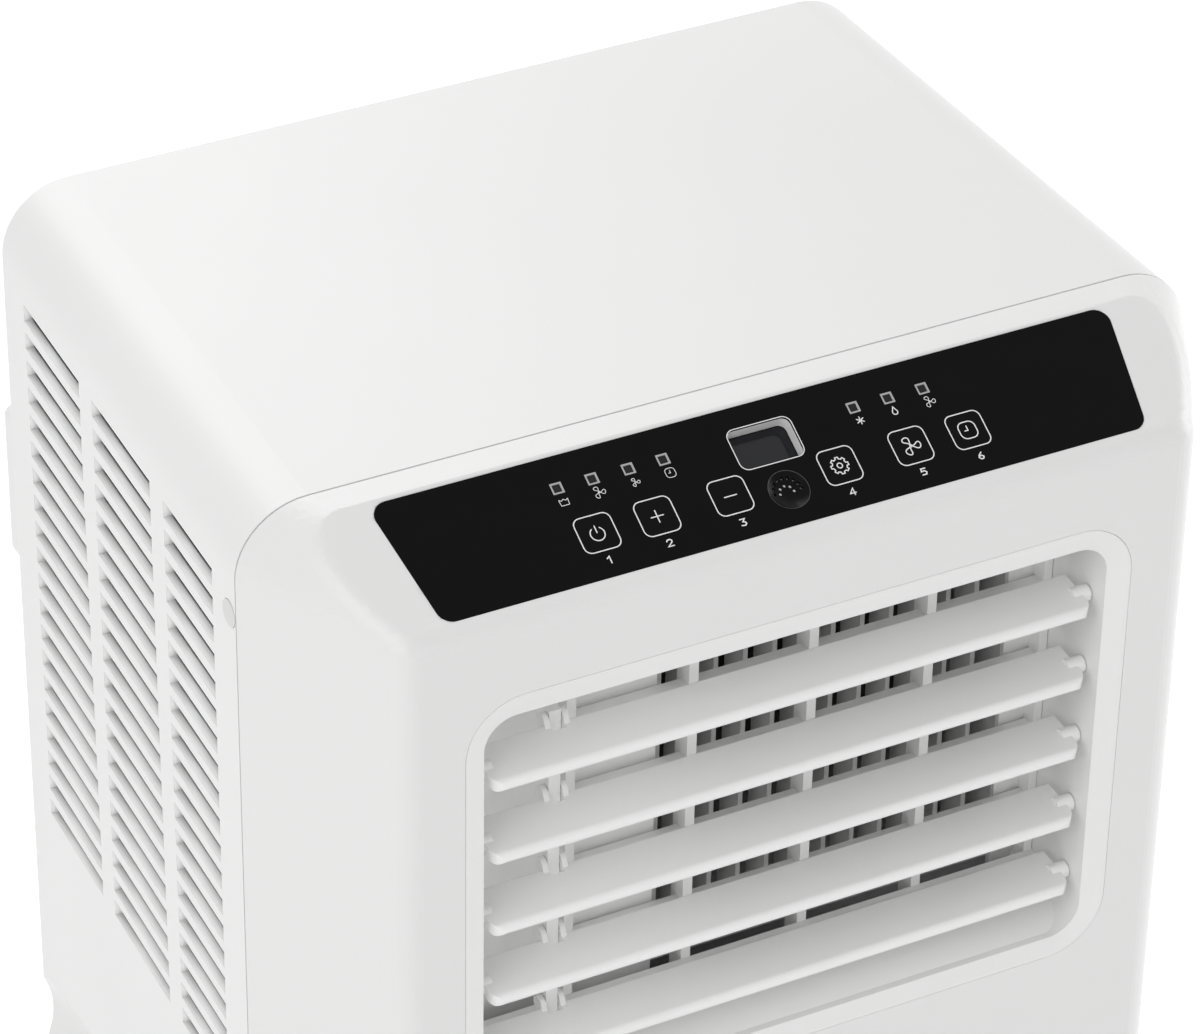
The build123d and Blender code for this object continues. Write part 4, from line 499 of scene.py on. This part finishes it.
def glossy_black(name, colour, rough, shine=0.05):
    """Glossy black film or plastic, with faint mottling in its colour and gloss."""
    finish = bpy.data.materials.new(name)
    finish.use_nodes = True
    tree = finish.node_tree
    skin = tree.nodes["Principled BSDF"]
    skin.inputs["Specular IOR Level"].default_value = shine
    place = tree.nodes.new("ShaderNodeTexCoord")
    mottle = tree.nodes.new("ShaderNodeTexNoise")
    mottle.inputs["Scale"].default_value = 90.0
    tint = tree.nodes.new("ShaderNodeValToRGB")
    tint.color_ramp.elements[0].color = (*[0.85 * c for c in colour], 1)
    tint.color_ramp.elements[1].color = (*colour, 1)
    gloss = tree.nodes.new("ShaderNodeMapRange")
    gloss.inputs["To Min"].default_value = rough - 0.03
    gloss.inputs["To Max"].default_value = rough + 0.03
    tree.links.new(place.outputs["Object"], mottle.inputs["Vector"])
    tree.links.new(mottle.outputs["Fac"], tint.inputs["Fac"])
    tree.links.new(tint.outputs["Color"], skin.inputs["Base Color"])
    tree.links.new(mottle.outputs["Fac"], gloss.inputs["Value"])
    tree.links.new(gloss.outputs["Result"], skin.inputs["Roughness"])
    return finish


film_black = glossy_black("film_black", (0.0045, 0.0045, 0.0048), 0.3)
dress(film_black, "control_film")
key_black = glossy_black("key_black", (0.005, 0.005, 0.0053), 0.34)

ink_white = bpy.data.materials.new("ink_white")
ink_white.use_nodes = True
tree = ink_white.node_tree
skin = tree.nodes["Principled BSDF"]
skin.inputs["Roughness"].default_value = 0.5
place = tree.nodes.new("ShaderNodeTexCoord")
speckle = tree.nodes.new("ShaderNodeTexNoise")
speckle.inputs["Scale"].default_value = 2500.0
cover = tree.nodes.new("ShaderNodeValToRGB")
cover.color_ramp.elements[0].position = 0.25
cover.color_ramp.elements[0].color = (0.72, 0.72, 0.72, 1)
cover.color_ramp.elements[1].position = 0.5
cover.color_ramp.elements[1].color = (0.88, 0.88, 0.88, 1)
tree.links.new(place.outputs["Object"], speckle.inputs["Vector"])
tree.links.new(speckle.outputs["Fac"], cover.inputs["Fac"])
tree.links.new(cover.outputs["Color"], skin.inputs["Base Color"])

CREASE = Vector((0, CREASE_Y, TOP_Z)) / 1000
DOWN_SLOPE = Vector((0, -cos(SLOPE), -sin(SLOPE)))
OFF_SLOPE = Vector((0, -sin(SLOPE), cos(SLOPE)))
FILM_TOP = 1.5
FILM_PROUD = 0.15
INK = 0.03
INK_BODY = 0.025
MITRE_LEAST = 0.5
RING_STEPS = 28
CORNER_STEPS = 6
DOT_STEPS = 18


def on_face(across, down, lift):
    """Point over the control face, in mm across, down from the film's top edge, and up from the film."""
    up = OFF_SLOPE * (FILM_PROUD + lift) + DOWN_SLOPE * (FILM_TOP + down)
    return CREASE + (up + Vector((across, 0, 0))) / 1000


def add_stroke(sheet, points, width, closed=False):
    """One ink line of even width through (across, down) points, with round ends where it is open."""
    points = [Vector(p) for p in points]
    count = len(points)
    left, right = [], []
    for i, here in enumerate(points):
        before = points[i - 1] if closed or i > 0 else here
        after = points[(i + 1) % count] if closed or i < count - 1 else here
        run_in = (here - before).normalized() if here != before else (after - here).normalized()
        run_out = (after - here).normalized() if here != after else run_in
        along = (run_in + run_out).normalized()
        side = Vector((-along.y, along.x)) * width / 2 / max(MITRE_LEAST, along.dot(run_in))
        left.append(sheet.verts.new(on_face(*(here + side), INK)))
        right.append(sheet.verts.new(on_face(*(here - side), INK)))
    for i in range(count if closed else count - 1):
        j = (i + 1) % count
        sheet.faces.new((left[i], left[j], right[j], right[i]))
    if closed:
        return
    ends = ((points[0], points[0] - points[1], left[0], right[0]),
            (points[-1], points[-1] - points[-2], right[-1], left[-1]))
    for tip, out, a, b in ends:
        turn = atan2(out.y, out.x)
        cap = [tip + Vector((cos(turn + t), sin(turn + t))) * width / 2
               for t in (-pi / 4, 0, pi / 4)]
        rim = [sheet.verts.new(on_face(*p, INK)) for p in cap]
        sheet.faces.new((a, *reversed(rim), b))


def ring_points(across, down, radius, start=0.0, sweep=360.0, steps=RING_STEPS):
    """Points along an arc, its angles taken from the right and upward."""
    angles = [radians(start + sweep * i / steps) for i in range(steps + (sweep < 360))]
    return [(across + radius * cos(t), down - radius * sin(t)) for t in angles]


def rounded_points(across, down, width, height, radius):
    """Points round a rectangle with round corners."""
    points = []
    for side_x, side_y, start in ((1, -1, 0), (-1, -1, 90), (-1, 1, 180), (1, 1, 270)):
        x = across + side_x * (width / 2 - radius)
        y = down + side_y * (height / 2 - radius)
        points += ring_points(x, y, radius, start, 90, CORNER_STEPS)
    return points


def add_dot(sheet, across, down, radius):
    """One round spot of ink."""
    loop = ring_points(across, down, radius, steps=DOT_STEPS)
    sheet.faces.new([sheet.verts.new(on_face(*p, INK)) for p in loop])


BLADE_TURNS = (100, 220, 340)
BLADE_POINTS = 22
BLADE_MIDDLE, BLADE_HALF = 0.56, 0.44
BLADE_SPREAD, SPREAD_ROOT, SPREAD_GROWTH = 0.62, 0.35, 0.6
BLADE_SWEEP = 0.3
HUB_SHARE = 0.17


def add_fan(sheet, across, down, size, width):
    """Three swept blades round a hub; each blade is a loop that widens outward and leans to one side."""
    for blade in BLADE_TURNS:
        turn = radians(blade)
        loop = []
        for i in range(BLADE_POINTS):
            t = 2 * pi * i / BLADE_POINTS
            share = BLADE_MIDDLE - BLADE_HALF * cos(t)
            reach = size * share
            swing = BLADE_SPREAD * sin(t) * (SPREAD_ROOT + SPREAD_GROWTH * share) + BLADE_SWEEP * share
            loop.append((across + reach * cos(turn + swing), down - reach * sin(turn + swing)))
        add_stroke(sheet, loop, width, True)
    add_dot(sheet, across, down, size * HUB_SHARE)


CLOCK_CORNER = 0.34
HAND_TOP, HAND_ELBOW, HAND_SIDE = 0.26, 0.02, 0.2


def add_clock(sheet, across, down, size, width):
    """A clock in a rounded square, its two hands one bent line."""
    add_stroke(sheet, rounded_points(across, down, size, size, size * CLOCK_CORNER), width, True)
    elbow = down + size * HAND_ELBOW
    hands = [(across, down - size * HAND_TOP), (across, elbow), (across - size * HAND_SIDE, elbow)]
    add_stroke(sheet, hands, width)


# Each digit's line, from its middle: across in shares of its height, and down on a scale
# where DIGIT_SPAN is the whole height.
DIGITS = {
    1: [(-0.28, -0.3), (0.1, -0.62), (0.1, 0.62)],
    2: [(-0.38, -0.32), (-0.2, -0.58), (0.16, -0.62), (0.38, -0.36),
        (0.3, -0.06), (-0.38, 0.6), (0.42, 0.6)],
    3: [(-0.36, -0.6), (0.36, -0.6), (-0.02, -0.12), (0.3, 0.02),
        (0.38, 0.32), (0.12, 0.6), (-0.38, 0.5)],
    4: [(0.18, 0.62), (0.18, -0.62), (-0.42, 0.24), (0.42, 0.24)],
    5: [(0.36, -0.6), (-0.28, -0.6), (-0.34, -0.08), (0.1, -0.16),
        (0.38, 0.16), (0.24, 0.52), (-0.36, 0.54)],
    6: [(0.22, -0.62), (-0.24, -0.14), (-0.36, 0.26), (-0.1, 0.6),
        (0.24, 0.54), (0.36, 0.22), (0.12, -0.06), (-0.22, 0.04)],
}
DIGIT_SPAN = 1.24
DIGIT_HEIGHT = 2.3
DIGIT_LINE = 0.4
NUMBER_DOWN = 37.8
KEY_X = {"power": -63.7, "plus": -43.6, "minus": -18.8, "mode": 18.8, "speed": 43.6, "timer": 63.7}
KEY_DOWN = 28.3
KEY_RING = 12.15
KEY_RING_CORNER = 2.4
LINE = 0.36
POWER_RADIUS, POWER_LOW = 2.3, 0.3
POWER_START, POWER_SWEEP, POWER_STEPS = 125, 290, 30
POWER_BAR = (-2.5, -0.1)
PLUS_REACH, PLUS_GAP = 2.1, 0.22
GEAR_TEETH = 8
GEAR_TOOTH = ((-13, 2.35), (-9, 2.95), (9, 2.95), (13, 2.35))
GEAR_BORE = 0.85
KEY_FAN = 3.3
KEY_CLOCK = 5.8


def thicken(sheet):
    """Gives flat ink its own thickness, so that each mark is a closed body."""
    sunk = bmesh.ops.extrude_face_region(sheet, geom=sheet.faces[:], use_keep_orig=True)["geom"]
    feet = [part for part in sunk if isinstance(part, bmesh.types.BMVert)]
    bmesh.ops.translate(sheet, verts=feet, vec=OFF_SLOPE * (-INK_BODY / 1000))


film_marks = bmesh.new()
for number, (name, x) in enumerate(KEY_X.items(), 1):
    dress(key_black, "key_" + name)
    scaled = [(x + u * DIGIT_HEIGHT, NUMBER_DOWN + v * DIGIT_HEIGHT / DIGIT_SPAN) for u, v in DIGITS[number]]
    add_stroke(film_marks, scaled, DIGIT_LINE)
    mark = bmesh.new()
    add_stroke(mark, rounded_points(x, KEY_DOWN, KEY_RING, KEY_RING, KEY_RING_CORNER), LINE, True)
    if name == "power":
        arc = ring_points(x, KEY_DOWN + POWER_LOW, POWER_RADIUS, POWER_START, POWER_SWEEP, POWER_STEPS)
        add_stroke(mark, arc, LINE)
        add_stroke(mark, [(x, KEY_DOWN + v) for v in POWER_BAR], LINE)
    elif name in ("plus", "minus"):
        add_stroke(mark, [(x - PLUS_REACH, KEY_DOWN), (x + PLUS_REACH, KEY_DOWN)], LINE)
        if name == "plus":
            add_stroke(mark, [(x, KEY_DOWN - PLUS_REACH), (x, KEY_DOWN - PLUS_GAP)], LINE)
            add_stroke(mark, [(x, KEY_DOWN + PLUS_GAP), (x, KEY_DOWN + PLUS_REACH)], LINE)
    elif name == "mode":
        teeth = []
        for tooth in range(GEAR_TEETH):
            for turn, radius in GEAR_TOOTH:
                t = radians(360 / GEAR_TEETH * tooth + turn)
                teeth.append((x + radius * cos(t), KEY_DOWN - radius * sin(t)))
        add_stroke(mark, teeth, LINE, True)
        add_stroke(mark, ring_points(x, KEY_DOWN, GEAR_BORE), LINE, True)
    elif name == "speed":
        add_fan(mark, x, KEY_DOWN, KEY_FAN, LINE)
    else:
        add_clock(mark, x, KEY_DOWN, KEY_CLOCK, LINE)
    thicken(mark)
    hang("key_mark_" + name, mark, "key_" + name, ink_white)

# Signs under the lamps, from left to right, and the line round the display's window.
SIGN_DOWN = 15.6
SIGN_LINE = 0.2
TANK_X, HIGH_FAN_X, LOW_FAN_X, CLOCK_X, STAR_X, DROP_X, FAN_X = -69.1, -57.4, -45.2, -33.4, 32.0, 44.0, 56.3
TANK = [(-1.5, -0.9), (-1.3, 1.2), (1.3, 1.2), (1.5, -0.9)]
WAVE = [(-1.5, -0.9), (-0.75, -0.4), (0, -0.9), (0.75, -0.4), (1.5, -0.9)]
HIGH_FAN, LOW_FAN, FAN = 2.1, 1.5, 2.0
CLOCK = 3.2
STAR_SPOKES = (30, 90, 150)
STAR_REACH = 1.3
DROP_TIP, DROP_LOW, DROP_RADIUS = 1.5, 0.35, 0.85
DROP_START, DROP_SWEEP, DROP_STEPS = 20, -220, 16
BOLD_LINE = 0.34
WINDOW = (-0.4, 14.5, 22.0, 14.4, 2.8)
WINDOW_LINE = 0.3
for line in (TANK, WAVE):
    add_stroke(film_marks, [(TANK_X + u, SIGN_DOWN + v) for u, v in line], SIGN_LINE)
add_fan(film_marks, HIGH_FAN_X, SIGN_DOWN, HIGH_FAN, SIGN_LINE)
add_fan(film_marks, LOW_FAN_X, SIGN_DOWN, LOW_FAN, SIGN_LINE)
add_clock(film_marks, CLOCK_X, SIGN_DOWN, CLOCK, SIGN_LINE)
for spoke in STAR_SPOKES:
    reach = Vector((cos(radians(spoke)), sin(radians(spoke)))) * STAR_REACH
    middle = Vector((STAR_X, SIGN_DOWN))
    add_stroke(film_marks, [middle - reach, middle + reach], BOLD_LINE)
drop = [(DROP_X, SIGN_DOWN - DROP_TIP)]
drop += ring_points(DROP_X, SIGN_DOWN + DROP_LOW, DROP_RADIUS, DROP_START, DROP_SWEEP, DROP_STEPS)
add_stroke(film_marks, drop, BOLD_LINE, True)
add_fan(film_marks, FAN_X, SIGN_DOWN, FAN, SIGN_LINE)
add_stroke(film_marks, rounded_points(*WINDOW), WINDOW_LINE, True)
thicken(film_marks)
hang("film_marks", film_marks, "cabinet", ink_white)


# Display and lamps: the number display at the foot of its well, and seven square lamps in bezels.
# The display's pane is smoked; each lamp has a grey plastic bezel, pressed flush into the film.

smoked_pane = glossy_black("smoked_pane", (0.011, 0.0115, 0.015), 0.14, 0.3)
dress(smoked_pane, "display_module")
lamp_lens = glossy_black("lamp_lens", (0.03, 0.03, 0.03), 0.3)
dress(lamp_lens, "status_lamps")
bezel_grey = moulded("bezel_grey", (0.42, 0.42, 0.42), 0.4, 0.2, 0.004, 0.85)
LAMP_X = (-69.3, -57.6, -45.4, -33.7, 31.8, 43.9, 56.1)
LAMP_DOWN = 10.7
LAMP_CORNER = 0.18
# Each ring of a bezel or a lens: half its width, and its height over the film.
BEZEL_RINGS = ((1.92, -1.2), (1.92, -0.05), (1.86, 0.02), (1.44, 0.02), (1.34, -0.12), (1.32, -0.5))
LENS_RINGS = ((1.32, -0.42), (0.75, -0.3), (0.3, -0.26))


def square_rings(form, x, rings):
    """Rows of points round a lamp, one for each ring."""
    rows = []
    for half, lift in rings:
        square = rounded_points(x, LAMP_DOWN, 2 * half, 2 * half, LAMP_CORNER)
        rows.append([form.verts.new(on_face(u, v, lift)) for u, v in square])
    return rows


def join_rings(form, outer, inner):
    """Faces between two rows of points."""
    for i in range(len(outer)):
        j = (i + 1) % len(outer)
        form.faces.new((outer[i], outer[j], inner[j], inner[i]))


bezels = bmesh.new()
lenses = bmesh.new()
for x in LAMP_X:
    rows = square_rings(bezels, x, BEZEL_RINGS)
    for outer, inner in zip(rows, rows[1:] + rows[:1]):
        join_rings(bezels, outer, inner)
    rows = square_rings(lenses, x, LENS_RINGS)
    for outer, inner in zip(rows, rows[1:]):
        join_rings(lenses, outer, inner)
    lenses.faces.new(rows[-1])
    lenses.faces.new(rows[0][::-1])
hang("lamp_bezels", bezels, "cabinet", bezel_grey)
hang("lamp_lenses", lenses, "cabinet", lamp_lens)


# Sounder disc: the small dished grille over the buzzer, let into the film between the keys.
# Black moulded plastic with two half rings of drilled holes; it presses into its seat. Its outer ring is
# painted grey as a painted highlight, and the hole floors paler grey as painted glints.

SOUNDER_X, SOUNDER_DOWN, SOUNDER_RADIUS = -0.2, 31.4, 6.7
DISH_DEPTH = 2.0
DISH_BODY = 3.1
DISH_RINGS = 40
DISH_SPOKES = 150
RIM_SHARE = 0.94
RIM_PROUD = 0.05
HOLE_RINGS = ((2.4, 5), (4.6, 9))
HOLE_RADIUS = 0.55
HOLE_DEPTH = 0.9
HOLE_FLANK = 0.2
HOLE_FLOOR_EDGE = 0.15


def bowl_height(share):
    """Height over the film at a share of the disc's radius: a bowl with a straight flank at its rim."""
    if share < RIM_SHARE:
        return RIM_PROUD - DISH_DEPTH * (1 - share ** 2)
    return RIM_PROUD - DISH_DEPTH * (1 - RIM_SHARE ** 2) * (1 - share) / (1 - RIM_SHARE)


dish_holes = []
for radius, count in HOLE_RINGS:
    turns = [pi * i / (count - 1) for i in range(count)]
    dish_holes += [(radius * cos(t), -radius * sin(t)) for t in turns]
spokes = [(cos(2 * pi * j / DISH_SPOKES), sin(2 * pi * j / DISH_SPOKES)) for j in range(DISH_SPOKES)]
dish = bmesh.new()
hole_floor = set()
rows = []
for i in range(DISH_RINGS):
    radius = SOUNDER_RADIUS * (1 - i / DISH_RINGS)
    row = []
    for along_x, along_y in spokes:
        u, v = radius * along_x, radius * along_y
        height = bowl_height(radius / SOUNDER_RADIUS)
        near = min(hypot(u - a, v - b) for a, b in dish_holes)
        if near < HOLE_RADIUS:
            height -= HOLE_DEPTH * min(1, (HOLE_RADIUS - near) / HOLE_FLANK)
        row.append(dish.verts.new(on_face(SOUNDER_X + u, SOUNDER_DOWN + v, height)))
        if near < HOLE_RADIUS - HOLE_FLOOR_EDGE:
            hole_floor.add(row[-1])
    rows.append(row)
painted_glint_faces = set()
for outer, inner in zip(rows, rows[1:]):
    for j in range(DISH_SPOKES):
        k = (j + 1) % DISH_SPOKES
        if outer[j] in hole_floor and inner[k] in hole_floor:
            painted_glint_faces.add(len(dish.faces))
        dish.faces.new((outer[j], outer[k], inner[k], inner[j]))
dish.faces.new(rows[-1])
base = []
for along_x, along_y in spokes:
    u, v = SOUNDER_RADIUS * along_x, SOUNDER_RADIUS * along_y
    base.append(dish.verts.new(on_face(SOUNDER_X + u, SOUNDER_DOWN + v, -DISH_BODY)))
join_rings(dish, base, rows[0])
dish.faces.new(base[::-1])
# The rim's grey is a painted highlight and the hole floors' paler grey are painted glints; the dish itself
# is glossy black.
dish_black = glossy_black("dish_black", (0.004, 0.004, 0.0042), 0.25, 0.07)
dish_painted_highlight = moulded("dish_painted_highlight", (0.05, 0.05, 0.052), 0.4, 0.5, 0.002, 0.98)
dish_painted_glint = moulded("dish_painted_glint", (0.24, 0.24, 0.24), 0.5, 0.5, 0.002, 0.98)
dress(dish_black, "sounder_disc")
dish_piece = hang("sounder_dish", dish, "cabinet", dish_black)
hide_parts("sounder_disc")
dish_piece.data.materials.append(dish_painted_highlight)
dish_piece.data.materials.append(dish_painted_glint)
# The outer ring of faces takes the painted highlight, the hole floors the painted glints.
PAINTED_HIGHLIGHT_FINISH, PAINTED_GLINT_FINISH = 1, 2
for number, face in enumerate(dish_piece.data.polygons):
    face.use_smooth = True
    if number < DISH_SPOKES:
        face.material_index = PAINTED_HIGHLIGHT_FINISH
    elif number in painted_glint_faces:
        face.material_index = PAINTED_GLINT_FINISH


# Outlet: the frame in the panel's window, and the guard with ribs at the frame's back.
# White plastic, the frame a little glossier than the shell; its lip bears on the panel from inside.
# The guard keeps fingers off the blower.

trim_white = moulded("trim_white", (0.86, 0.86, 0.855), 0.34, 0.5, 0.004, 0.985)
# The guard is painted paler than the frame: painted light inside the outlet's recess.
guard_painted_light = moulded("guard_painted_light", (0.9, 0.9, 0.895), 0.4, 0.5, 0.004, 0.985)
dress(trim_white, "louvre_frame")
dress(guard_painted_light, "outlet_grille")


# Louvres: five blades on end pins, joined near the left end by one upright rod that tilts them together.
# White plastic, painted paler than the frame as painted light inside the outlet's recess; the end pins sit
# in the frame's open bearings, and the rod's own pins in ears on the blades.

blade_painted_light = moulded("blade_painted_light", (0.91, 0.91, 0.905), 0.33, 0.5, 0.004, 0.985)
dress(blade_painted_light, "louvre_1", "louvre_2", "louvre_3", "louvre_4", "louvre_5", "louvre_link")


# Studio: a pale floor, a white surround and four large soft lamps: behind and above, left, right and front.
# The camera stands above the front, to its left. Sizes are in metres.

def white_to_eye(tree, plain, white):
    """Shows `white` to the camera and in reflections, and lights the room with `plain`."""
    ray = tree.nodes.new("ShaderNodeLightPath")
    seen = tree.nodes.new("ShaderNodeMath")
    seen.operation = "MAXIMUM"
    seen_too = tree.nodes.new("ShaderNodeMath")
    seen_too.operation = "MAXIMUM"
    choice = tree.nodes.new("ShaderNodeMixShader")
    tree.links.new(ray.outputs["Is Camera Ray"], seen.inputs[0])
    tree.links.new(ray.outputs["Is Glossy Ray"], seen.inputs[1])
    tree.links.new(seen.outputs["Value"], seen_too.inputs[0])
    tree.links.new(ray.outputs["Is Transmission Ray"], seen_too.inputs[1])
    tree.links.new(seen_too.outputs["Value"], choice.inputs["Fac"])
    tree.links.new(plain, choice.inputs[1])
    tree.links.new(white, choice.inputs[2])
    return choice.outputs["Shader"]


ROOM_LIGHT = 0.53
FLOOR_LIFT = 0.55
FLOOR_REACH = 6.0
LAMP_AIM = Vector((0, 0, 0.5))

scene = bpy.context.scene
scene.view_settings.view_transform = "Standard"
surround = bpy.data.worlds.new("surround")
scene.world = surround
surround.use_nodes = True
tree = surround.node_tree
room = tree.nodes["Background"]
room.inputs["Color"].default_value = (1, 1, 1, 1)
room.inputs["Strength"].default_value = ROOM_LIGHT
backdrop = tree.nodes.new("ShaderNodeBackground")
backdrop.inputs["Color"].default_value = (1, 1, 1, 1)
backdrop.inputs["Strength"].default_value = 1.0
shown = white_to_eye(tree, room.outputs["Background"], backdrop.outputs["Background"])
tree.links.new(shown, tree.nodes["World Output"].inputs["Surface"])

floor_mesh = bpy.data.meshes.new("floor")
floor_corners = [(-FLOOR_REACH, -FLOOR_REACH, 0), (FLOOR_REACH, -FLOOR_REACH, 0),
                 (FLOOR_REACH, FLOOR_REACH, 0), (-FLOOR_REACH, FLOOR_REACH, 0)]
floor_mesh.from_pydata(floor_corners, [], [(0, 1, 2, 3)])
floor = bpy.data.objects.new("floor", floor_mesh)
scene.collection.objects.link(floor)
floor_paint = bpy.data.materials.new("floor_paint")
floor_paint.use_nodes = True
tree = floor_paint.node_tree
skin = tree.nodes["Principled BSDF"]
skin.inputs["Base Color"].default_value = (0.85, 0.85, 0.85, 1)
skin.inputs["Roughness"].default_value = 0.9
lift = tree.nodes.new("ShaderNodeEmission")
lift.inputs["Strength"].default_value = FLOOR_LIFT
lifted = tree.nodes.new("ShaderNodeAddShader")
tree.links.new(skin.outputs["BSDF"], lifted.inputs[0])
tree.links.new(lift.outputs["Emission"], lifted.inputs[1])
shown = white_to_eye(tree, skin.outputs["BSDF"], lifted.outputs["Shader"])
tree.links.new(shown, tree.nodes["Material Output"].inputs["Surface"])
floor_mesh.materials.append(floor_paint)


def softbox(name, spot, size, watts):
    """Square soft lamp at a spot, turned to the middle of the cabinet."""
    lamp = bpy.data.lights.new(name, "AREA")
    lamp.shape = "SQUARE"
    lamp.size = size
    lamp.energy = watts
    stand = bpy.data.objects.new(name, lamp)
    scene.collection.objects.link(stand)
    stand.location = spot
    aim = LAMP_AIM - Vector(spot)
    stand.rotation_euler = aim.to_track_quat("-Z", "Y").to_euler()


softbox("top_lamp", (0, 2.3, 2.4), 2.2, 38)
softbox("left_lamp", (-2.03, -1.32, 1.9), 2.0, 26)
softbox("right_lamp", (2.57, -0.26, 0.9), 1.6, 25)
softbox("front_lamp", (0.2, -2.9, 1.2), 1.6, 4)

CAMERA_RIGHT = Vector((0.8902599, -0.4552243, 0.0144266))
CAMERA_UP = Vector((0.2464416, 0.5081080, 0.8252834))
CAMERA_BACK = Vector((-0.3830194, -0.7311614, 0.5645344))
CAMERA_SPOT = Vector((-0.666595, -1.274309, 1.561583))
LENS_MM = 159.544
SENSOR_MM = 36
SIGHT_END = 50
camera = bpy.data.objects.new("camera", bpy.data.cameras.new("camera"))
scene.collection.objects.link(camera)
view = Matrix((CAMERA_RIGHT, CAMERA_UP, CAMERA_BACK)).transposed().to_4x4()
view.translation = CAMERA_SPOT
camera.matrix_world = view
camera.data.lens = LENS_MM
camera.data.sensor_width = SENSOR_MM
camera.data.sensor_fit = "HORIZONTAL"
camera.data.clip_end = SIGHT_END
scene.camera = camera
